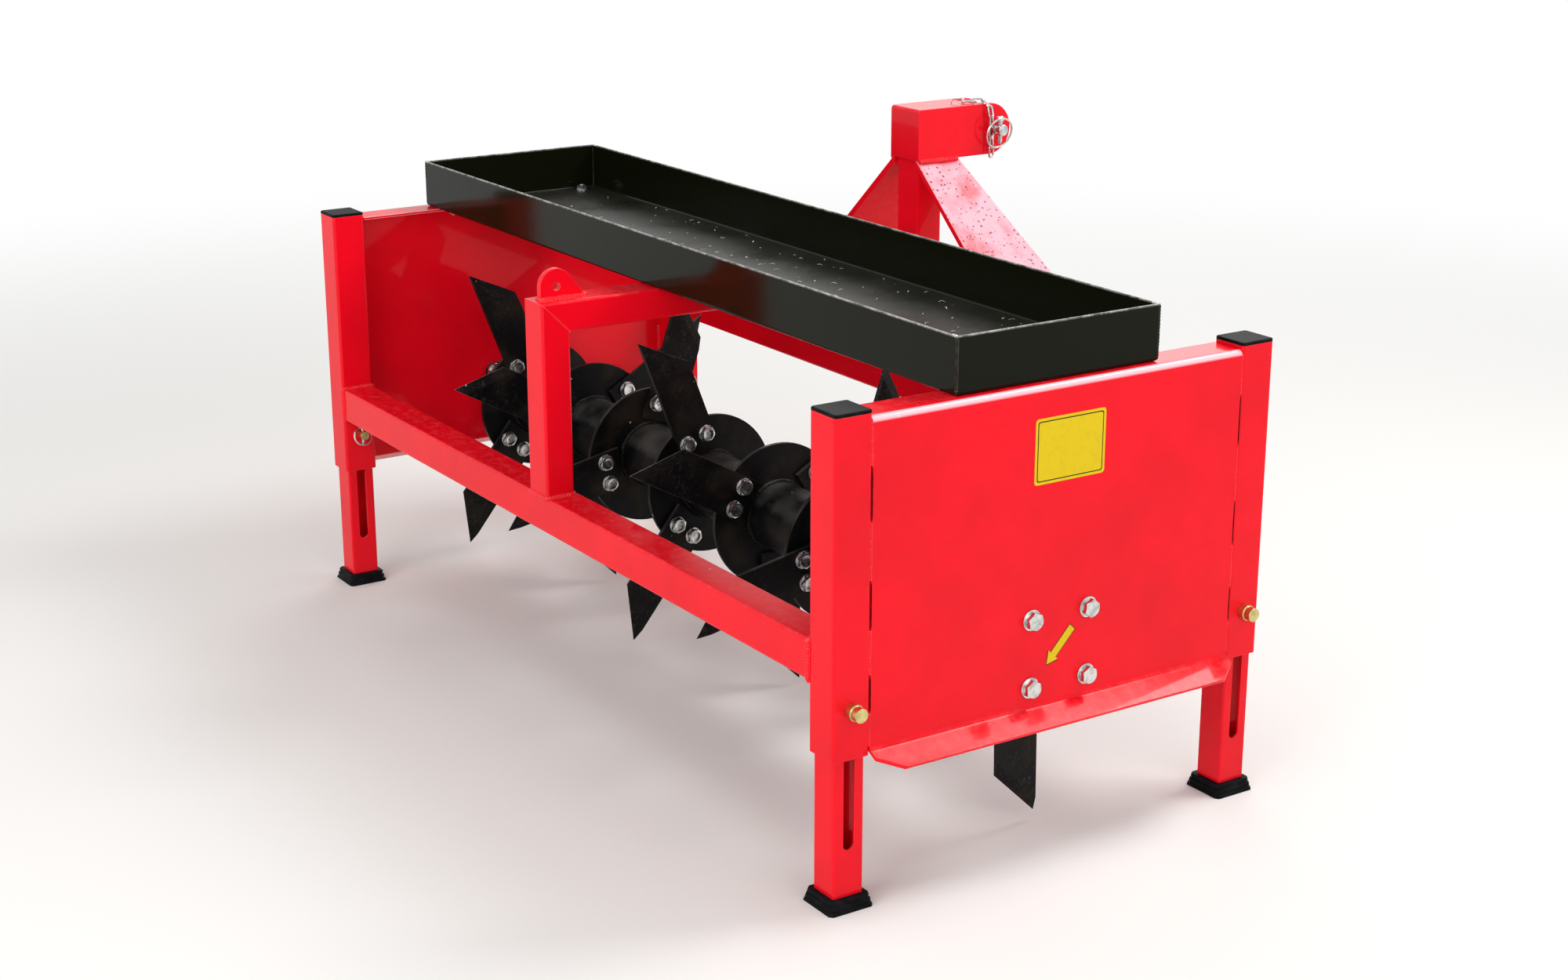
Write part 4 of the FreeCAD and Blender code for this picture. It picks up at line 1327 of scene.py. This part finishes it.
@dataclass
class Legs:
    """Sliding legs with plastic feet, and the pins that hold them."""

    machine: Machine
    bodies: tuple[Body, ...] = (Body.LEG_REAR_LEFT, Body.LEG_REAR_RIGHT, Body.LEG_FRONT_LEFT,
                                Body.LEG_FRONT_RIGHT)
    clip: LinchPin = LinchPin(ring_radius_mm=17.0, wire_mm=3.0, shank_mm=5.0, shank_length_mm=34.0,
                              tilt_degrees=-18.0)
    pin_past_mm: float = 13.0

    def build(self) -> None:
        """Dress legs, feet and pins and add the pins' linch pins."""
        for body in self.bodies:
            self.machine.soften(RED, Slot.RED_PAINT, 0.6, body.value, body=body)
            self.machine.soften(PLASTIC, Slot.BLACK_CAP, 0.8, body.value.replace("leg", "foot"), body=body)
        self.machine.soften(CHROMATE, Slot.YELLOW_ZINC, 1.3, "leg_pins")
        piece = Piece("leg_pin_clips", [ZINC], slot=Slot.ZINC_BOLT)
        for body in self.bodies:
            post = body.value.replace("leg", "post")
            spot = middle_of(post)
            way = 1.0 if spot.x > 0 else -1.0
            spot.x = outer_face(post, -way) - way * self.pin_past_mm * MM
            spot.z = middle_of("leg_pins").z
            self.clip.build(piece, spot, -way)
        piece.finish()


@dataclass
class Bearings:
    """Flange bearings of the rotor and their bolts through the side plates."""

    machine: Machine
    bolt: HexBolt = HexBolt(head_mm=13.0, washer_radius_mm=15.5, washer_mm=3.0, stub_mm=5.0)
    pitch_mm: float = 102.0
    grip_mm: float = 19.0

    def build(self) -> None:
        """Dress the housings and put real bolts in place of the plain ones."""
        self.machine.soften(self.machine.housing_paint, Slot.CAST_HOUSING, 1.5, "bearing_left",
                            "bearing_right")
        piece = Piece("bearing_bolts", [ZINC], slot=Slot.ZINC_BOLT, replaces_node=True, seed=41)
        axis = middle_of("rotor_tube")
        half = self.pitch_mm / 2 * MM
        for side, way in SIDES:
            outer = outer_face("post_rear_" + side, way)
            outward = Matrix.Rotation(math.pi if way < 0 else 0.0, 4, "Z")
            for y in (axis.y - half, axis.y + half):
                for z in (axis.z - half, axis.z + half):
                    turned = Matrix.Rotation(piece.dice.uniform(0, 1.0), 4, "X")
                    place = Matrix.Translation((outer, y, z)) @ outward @ turned
                    self.bolt.build(piece, place, self.grip_mm)
        piece.finish()


@dataclass
class Rotor:
    """Rotor tube, journals, discs, blades and their bolts."""

    machine: Machine
    disc_count: int = 8
    disc_thick_mm: float = 8.0
    blades_per_disc: int = 3
    first_degrees: float = -9.0
    step_degrees: float = 40.0
    root_mm: float = 62.0
    tip_mm: float = 300.0
    wide_mm: float = 74.0
    slant_mm: float = 74.0
    thick_mm: float = 8.0
    ground_mm: float = 16.0
    edge_mm: float = 2.0
    # rounding of the blades' edges, also where the ground face meets the flat at a small angle
    round_mm: float = 0.5
    sharp_degrees: float = 12.0
    bolt: HexBolt = HexBolt(washer_radius_mm=14.5, washer_mm=2.0)
    bolt_ring_mm: float = 93.0
    bolt_side_mm: float = 20.0
    bead_mm: float = 4.5
    end_bead_mm: float = 3.0

    def build(self) -> None:
        """Dress tube, journals and discs and build blades, bolts and welds."""
        self.machine.soften(self.machine.rotor_paint, Slot.BLACK_ROTOR, 0.8, "rotor_tube", "rotor_discs",
                            body=Body.ROTOR)
        self.machine.soften(BARE_STEEL, Slot.BLACK_ROTOR, 0.8, "rotor_journals", body=Body.ROTOR)
        places = self.blade_places()
        middle = len(places) // 2
        self.add_blades("blades_left", places[:middle])
        self.add_blades("blades_right", places[middle:])
        self.add_bolts(places)
        self.add_welds()

    def disc_faces(self) -> list[float]:
        """Places of the discs' right-hand faces along X."""
        low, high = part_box("rotor_discs")
        pitch = (high.x - low.x - self.disc_thick_mm * MM) / (self.disc_count - 1)
        return [low.x + self.disc_thick_mm * MM + pitch * i for i in range(self.disc_count)]

    def blade_places(self) -> list[Matrix]:
        """Place the blades round their discs.

        Returns:
            Place of each blade: X off the disc's face, Y out along the blade.
        """
        axis = middle_of("rotor_tube")
        places = []
        for i, x in enumerate(self.disc_faces()):
            for k in range(self.blades_per_disc):
                turn = self.first_degrees + self.step_degrees * i + 360.0 * k / self.blades_per_disc
                places.append(Matrix.Translation((x, axis.y, axis.z))
                              @ Matrix.Rotation(math.radians(turn), 4, "X"))
        return places

    def add_blades(self, node: str, places: Sequence[Matrix]) -> None:
        """Flat knives with a slanting cut, ground along the cut down to bare steel.

        Args:
            node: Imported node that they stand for.
            places: Place of each blade.
        """
        piece = Piece(node, [self.machine.rotor_paint, BARE_STEEL], Body.ROTOR, Slot.BLACK_ROTOR,
                      replaces_node=True)
        half, thick, root, tip = self.wide_mm / 2, self.thick_mm, self.root_mm, self.tip_mm
        heel = tip - self.slant_mm
        back = self.ground_mm * math.hypot(self.slant_mm, self.wide_mm) / self.wide_mm
        corners = {"root_low": (0, root, -half), "heel": (0, heel, -half), "tip": (0, tip, half),
                   "root_high": (0, root, half), "top_root_low": (thick, root, -half),
                   "top_heel": (thick, heel - back, -half), "top_tip": (thick, tip - back, half),
                   "top_root_high": (thick, root, half), "edge_heel": (self.edge_mm, heel, -half),
                   "edge_tip": (self.edge_mm, tip, half)}
        # corners of each face, and 1 where it is bare steel
        faces = ((("root_low", "heel", "tip", "root_high"), 0),
                 (("top_root_high", "top_tip", "top_heel", "top_root_low"), 0),
                 (("top_heel", "top_tip", "edge_tip", "edge_heel"), 0),
                 (("edge_heel", "edge_tip", "tip", "heel"), 1),
                 (("root_low", "top_root_low", "top_heel", "edge_heel", "heel"), 0),
                 (("root_high", "tip", "edge_tip", "top_tip", "top_root_high"), 0),
                 (("root_low", "root_high", "top_root_high", "top_root_low"), 0))
        for place in places:
            spots = {name: piece.mesh.verts.new(place @ (Vector(spot) * MM))
                     for name, spot in corners.items()}
            for names, number in faces:
                piece.mesh.faces.new([spots[name] for name in names]).material_index = number
        piece.point_outwards()
        piece.round_edges(self.round_mm, self.sharp_degrees)
        piece.finish()

    def add_bolts(self, places: Sequence[Matrix]) -> None:
        """Two bolts on each blade, their heads on the blade and their nuts behind the disc.

        Args:
            places: Place of each blade.
        """
        piece = Piece("blade_bolts", [ZINC], Body.ROTOR, Slot.ZINC_BOLT, replaces_node=True, seed=51)
        for place in places:
            for side in (-1, 1):
                spot = Vector((self.thick_mm, self.bolt_ring_mm, side * self.bolt_side_mm)) * MM
                turned = Matrix.Rotation(piece.dice.uniform(0, 1.0), 4, "X")
                self.bolt.build(piece, place @ Matrix.Translation(spot) @ turned,
                                self.thick_mm + self.disc_thick_mm)
        piece.finish()

    def add_welds(self) -> None:
        """Seams round the tube on both sides of each disc and at its ends."""
        piece = Piece("rotor_welds", [self.machine.rotor_paint], Body.ROTOR, Slot.BLACK_ROTOR, seed=52)
        low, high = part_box("rotor_tube")
        centre = (low + high) / 2
        radius = (high.z - low.z) / 2
        seams = [(face, radius, self.bead_mm) for x in self.disc_faces()
                 for face in (x, x - self.disc_thick_mm * MM)]
        seams += [(x, radius - self.end_bead_mm / 2 * MM, self.end_bead_mm) for x in (low.x, high.x)]
        for x, reach, size_mm in seams:
            centre.x = x
            piece.weld(ring_path(centre, reach, FORWARD, UP, 60), size_mm, True)
        piece.finish()


@dataclass
class Labels:
    """Blank yellow label with a border, and a plain arrow, on the right-hand side plate."""

    # middle, size along Y and Z, from the rear face of the rear posts and their lower ends
    label_mm: tuple[float, float, float, float] = (395.0, 384.0, 125.0, 95.0)
    corner_mm: float = 5.0
    # where the border starts and ends, inwards from the label's edge
    border_mm: tuple[float, float] = (4.0, 5.6)
    arrow_tail_mm: tuple[float, float] = (410.0, 115.0)
    arrow_tip_mm: tuple[float, float] = (365.0, 67.0)
    arrow_wide_mm: float = 12.0
    arrow_head_mm: float = 17.0
    arrow_head_wide_mm: float = 23.0
    arrow_border_mm: float = 1.2
    # gap under a film, where its glue is
    glue_mm: float = 0.02

    def build(self) -> None:
        """Stick the films on the plate's outer face."""
        y, z, long, high = self.label_mm
        # name, inset, finish and height of each film
        for name, inset, finish, lift in (("yellow_label", 0.0, LABEL, 0.35),
                                          ("label_border", self.border_mm[0], OUTLINE, 0.42),
                                          ("label_middle", self.border_mm[1], LABEL, 0.49)):
            corner = (0, long / 2 - inset, high / 2 - inset)
            outline = round_corners([-v for v in corner], corner, self.corner_mm - inset / 3, 0, 0.0)
            self.add_film(name, [(y + p.y, z + p.z) for p in outline], finish, lift)
        self.add_film("arrow_outline", self.arrow_outline(self.arrow_border_mm), OUTLINE, 0.2)
        self.add_film("yellow_arrow", self.arrow_outline(0.0), LABEL, 0.4)

    def arrow_outline(self, grow: float) -> list[tuple[float, float]]:
        """Corners of the arrow.

        Args:
            grow: How much wider it is made on each side, in millimetres.

        Returns:
            Its corners as Y and Z in millimetres.
        """
        tail, tip = Vector(self.arrow_tail_mm), Vector(self.arrow_tip_mm)
        run = (tip - tail).normalized()
        side = Vector((-run.y, run.x))
        # the point and the barbs slant, so they grow by more
        tail, tip = tail - run * grow, tip + run * grow * 1.6
        neck = tip - run * (self.arrow_head_mm + grow)
        half, head = self.arrow_wide_mm / 2 + grow, self.arrow_head_wide_mm / 2 + grow * 1.5
        corners = [tail - side * half, neck - side * half, neck - side * head, tip, neck + side * head,
                   neck + side * half, tail + side * half]
        return [(p.x, p.y) for p in corners]

    def add_film(self, name: str, outline: Sequence[tuple[float, float]], finish: Finish,
                 lift_mm: float) -> None:
        """One flat film on the plate.

        Args:
            name: Name of the piece.
            outline: Its corners as Y and Z in millimetres, from the rear posts' rear face and lower ends.
            finish: Its finish.
            lift_mm: How far its outer face stands off the plate.
        """
        piece = Piece(name, [finish])
        low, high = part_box("post_rear_right")
        piece.bridge([[(high.x + off_mm * MM, low.y + y * MM, low.z + z * MM) for y, z in outline]
                      for off_mm in (self.glue_mm, lift_mm)])
        piece.point_outwards()
        piece.finish()


@dataclass(frozen=True)
class Lamp:
    """Soft rectangular lamp, turned to the middle of the object."""

    name: str
    # direction from the object
    way: tuple[float, float, float]
    distance: float
    long: float
    wide: float
    power: float
    centre: tuple[float, float, float] = (0.0, 0.0, 0.5)

    def build(self) -> None:
        """Hang the lamp."""
        lamp = bpy.data.lights.new(self.name, "AREA")
        lamp.shape = "RECTANGLE"
        lamp.size = self.long
        lamp.size_y = self.wide
        lamp.energy = self.power
        holder = bpy.data.objects.new(self.name, lamp)
        out = Vector(self.way).normalized()
        holder.location = Vector(self.centre) + out * self.distance
        holder.rotation_euler = (-out).to_track_quat("-Z", "Y").to_euler()
        bpy.context.scene.collection.objects.link(holder)


@dataclass
class Studio:
    """Pale floor, white surroundings, soft lamps and the camera."""

    # where the photograph was taken from, off the middle of the posts' lower rear edge
    eye: tuple[float, float, float] = (3.337, -1.711, 1.332)
    aim: tuple[float, float, float] = (0.03, 0.0, 0.325)
    lens_mm: float = 56.0
    floor_colour: str = "#E9E8E5"
    floor_radius: float = 40.0
    # where the floor starts to fade, and where it is white
    fade: Ramp = Ramp(1.5, 5.0)
    world_light: float = 0.62
    # key from above the hitch side, fill from the camera's left, and lamps at the side and the back
    lamps: tuple[Lamp, ...] = (Lamp("key", (0.30, 0.55, 0.78), 3.4, 1.5, 0.9, 66.0),
                               Lamp("fill", (0.30, -0.9, 0.45), 4.2, 3.0, 2.0, 72.0),
                               Lamp("side", (0.98, -0.1, 0.38), 4.2, 2.4, 1.8, 26.0),
                               Lamp("back", (-0.7, 0.6, 0.5), 4.5, 2.5, 2.0, 30.0))

    def build(self) -> None:
        """Make the floor, the world, the lamps and the camera."""
        self.add_floor()
        self.add_world()
        for lamp in self.lamps:
            lamp.build()
        self.add_camera()

    def add_floor(self) -> None:
        """Pale floor that fades into the white surroundings far from the object."""
        mesh = bmesh.new()
        bmesh.ops.create_circle(mesh, cap_ends=True, segments=96, radius=self.floor_radius)
        data = bpy.data.meshes.new("floor")
        mesh.to_mesh(data)
        mesh.free()
        floor = bpy.data.objects.new("floor", data)
        bpy.context.scene.collection.objects.link(floor)
        # matt and nearly white, so that it takes soft shadows and doesn't mirror the object
        material = bpy.data.materials.new("pale floor")
        material.use_nodes = True
        tree = material.node_tree
        tree.nodes.clear()
        matt = add_node(tree, "ShaderNodeBsdfDiffuse", {"Color": linear(self.floor_colour)})
        white = add_node(tree, "ShaderNodeEmission", {"Color": (1, 1, 1, 1), "Strength": 1.0})
        place = add_node(tree, "ShaderNodeTexCoord").outputs["Object"]
        far = add_node(tree, "ShaderNodeVectorMath", {"operation": "LENGTH"}, {0: place})
        fade = add_node(tree, "ShaderNodeMapRange",
                        {"interpolation_type": "SMOOTHSTEP"} | self.fade.settings(),
                        {"Value": far.outputs["Value"]})
        mixed = add_node(tree, "ShaderNodeMixShader", links={0: fade, 1: matt, 2: white})
        add_node(tree, "ShaderNodeOutputMaterial", links={"Surface": mixed})
        data.materials.append(material)

    def add_world(self) -> None:
        """White to the eye and in reflections, softer as a light on the object."""
        world = bpy.data.worlds.new("studio")
        bpy.context.scene.world = world
        world.use_nodes = True
        tree = world.node_tree
        tree.nodes.clear()
        seen = add_node(tree, "ShaderNodeBackground", {"Color": (1, 1, 1, 1), "Strength": 1.0})
        light = add_node(tree, "ShaderNodeBackground", {"Color": (1, 1, 1, 1), "Strength": self.world_light})
        rays = add_node(tree, "ShaderNodeLightPath")
        shiny = add_node(tree, "ShaderNodeMath", {"operation": "MAXIMUM"},
                         {0: rays.outputs["Is Glossy Ray"], 1: rays.outputs["Is Transmission Ray"]})
        either = add_node(tree, "ShaderNodeMath", {"operation": "MAXIMUM"},
                          {0: rays.outputs["Is Camera Ray"], 1: shiny})
        mixed = add_node(tree, "ShaderNodeMixShader", links={0: either, 1: light, 2: seen})
        add_node(tree, "ShaderNodeOutputWorld", links={"Surface": mixed})

    def add_camera(self) -> None:
        """Camera where the photograph was taken from, turned to the object and with a longer lens."""
        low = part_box("post_rear_right")[0]
        eye = Vector(self.eye) + Vector((0, low.y, low.z))
        data = bpy.data.cameras.new("camera")
        data.lens = self.lens_mm
        data.sensor_width = 36.0
        data.clip_end = 200.0
        camera = bpy.data.objects.new("camera", data)
        camera.location = eye
        camera.rotation_euler = (Vector(self.aim) - eye).to_track_quat("-Z", "Y").to_euler()
        bpy.context.scene.collection.objects.link(camera)
        bpy.context.scene.camera = camera


def main() -> None:
    """Build and dress every sub-assembly in order."""
    logging.basicConfig(level=logging.INFO, format="%(name)s %(message)s")
    bpy.ops.wm.read_factory_settings(use_empty=True)
    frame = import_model()
    machine = Machine(frame["nodes"])
    bpy.context.scene.view_settings.view_transform = "Standard"
    for part in (Studio(), WeldedFrame(machine), HitchMast(machine), BallastTray(machine),
                 Legs(machine), Bearings(machine), Rotor(machine), Labels()):
        LOG.info("building %s", type(part).__name__)
        part.build()


if __name__ == "__main__":
    main()
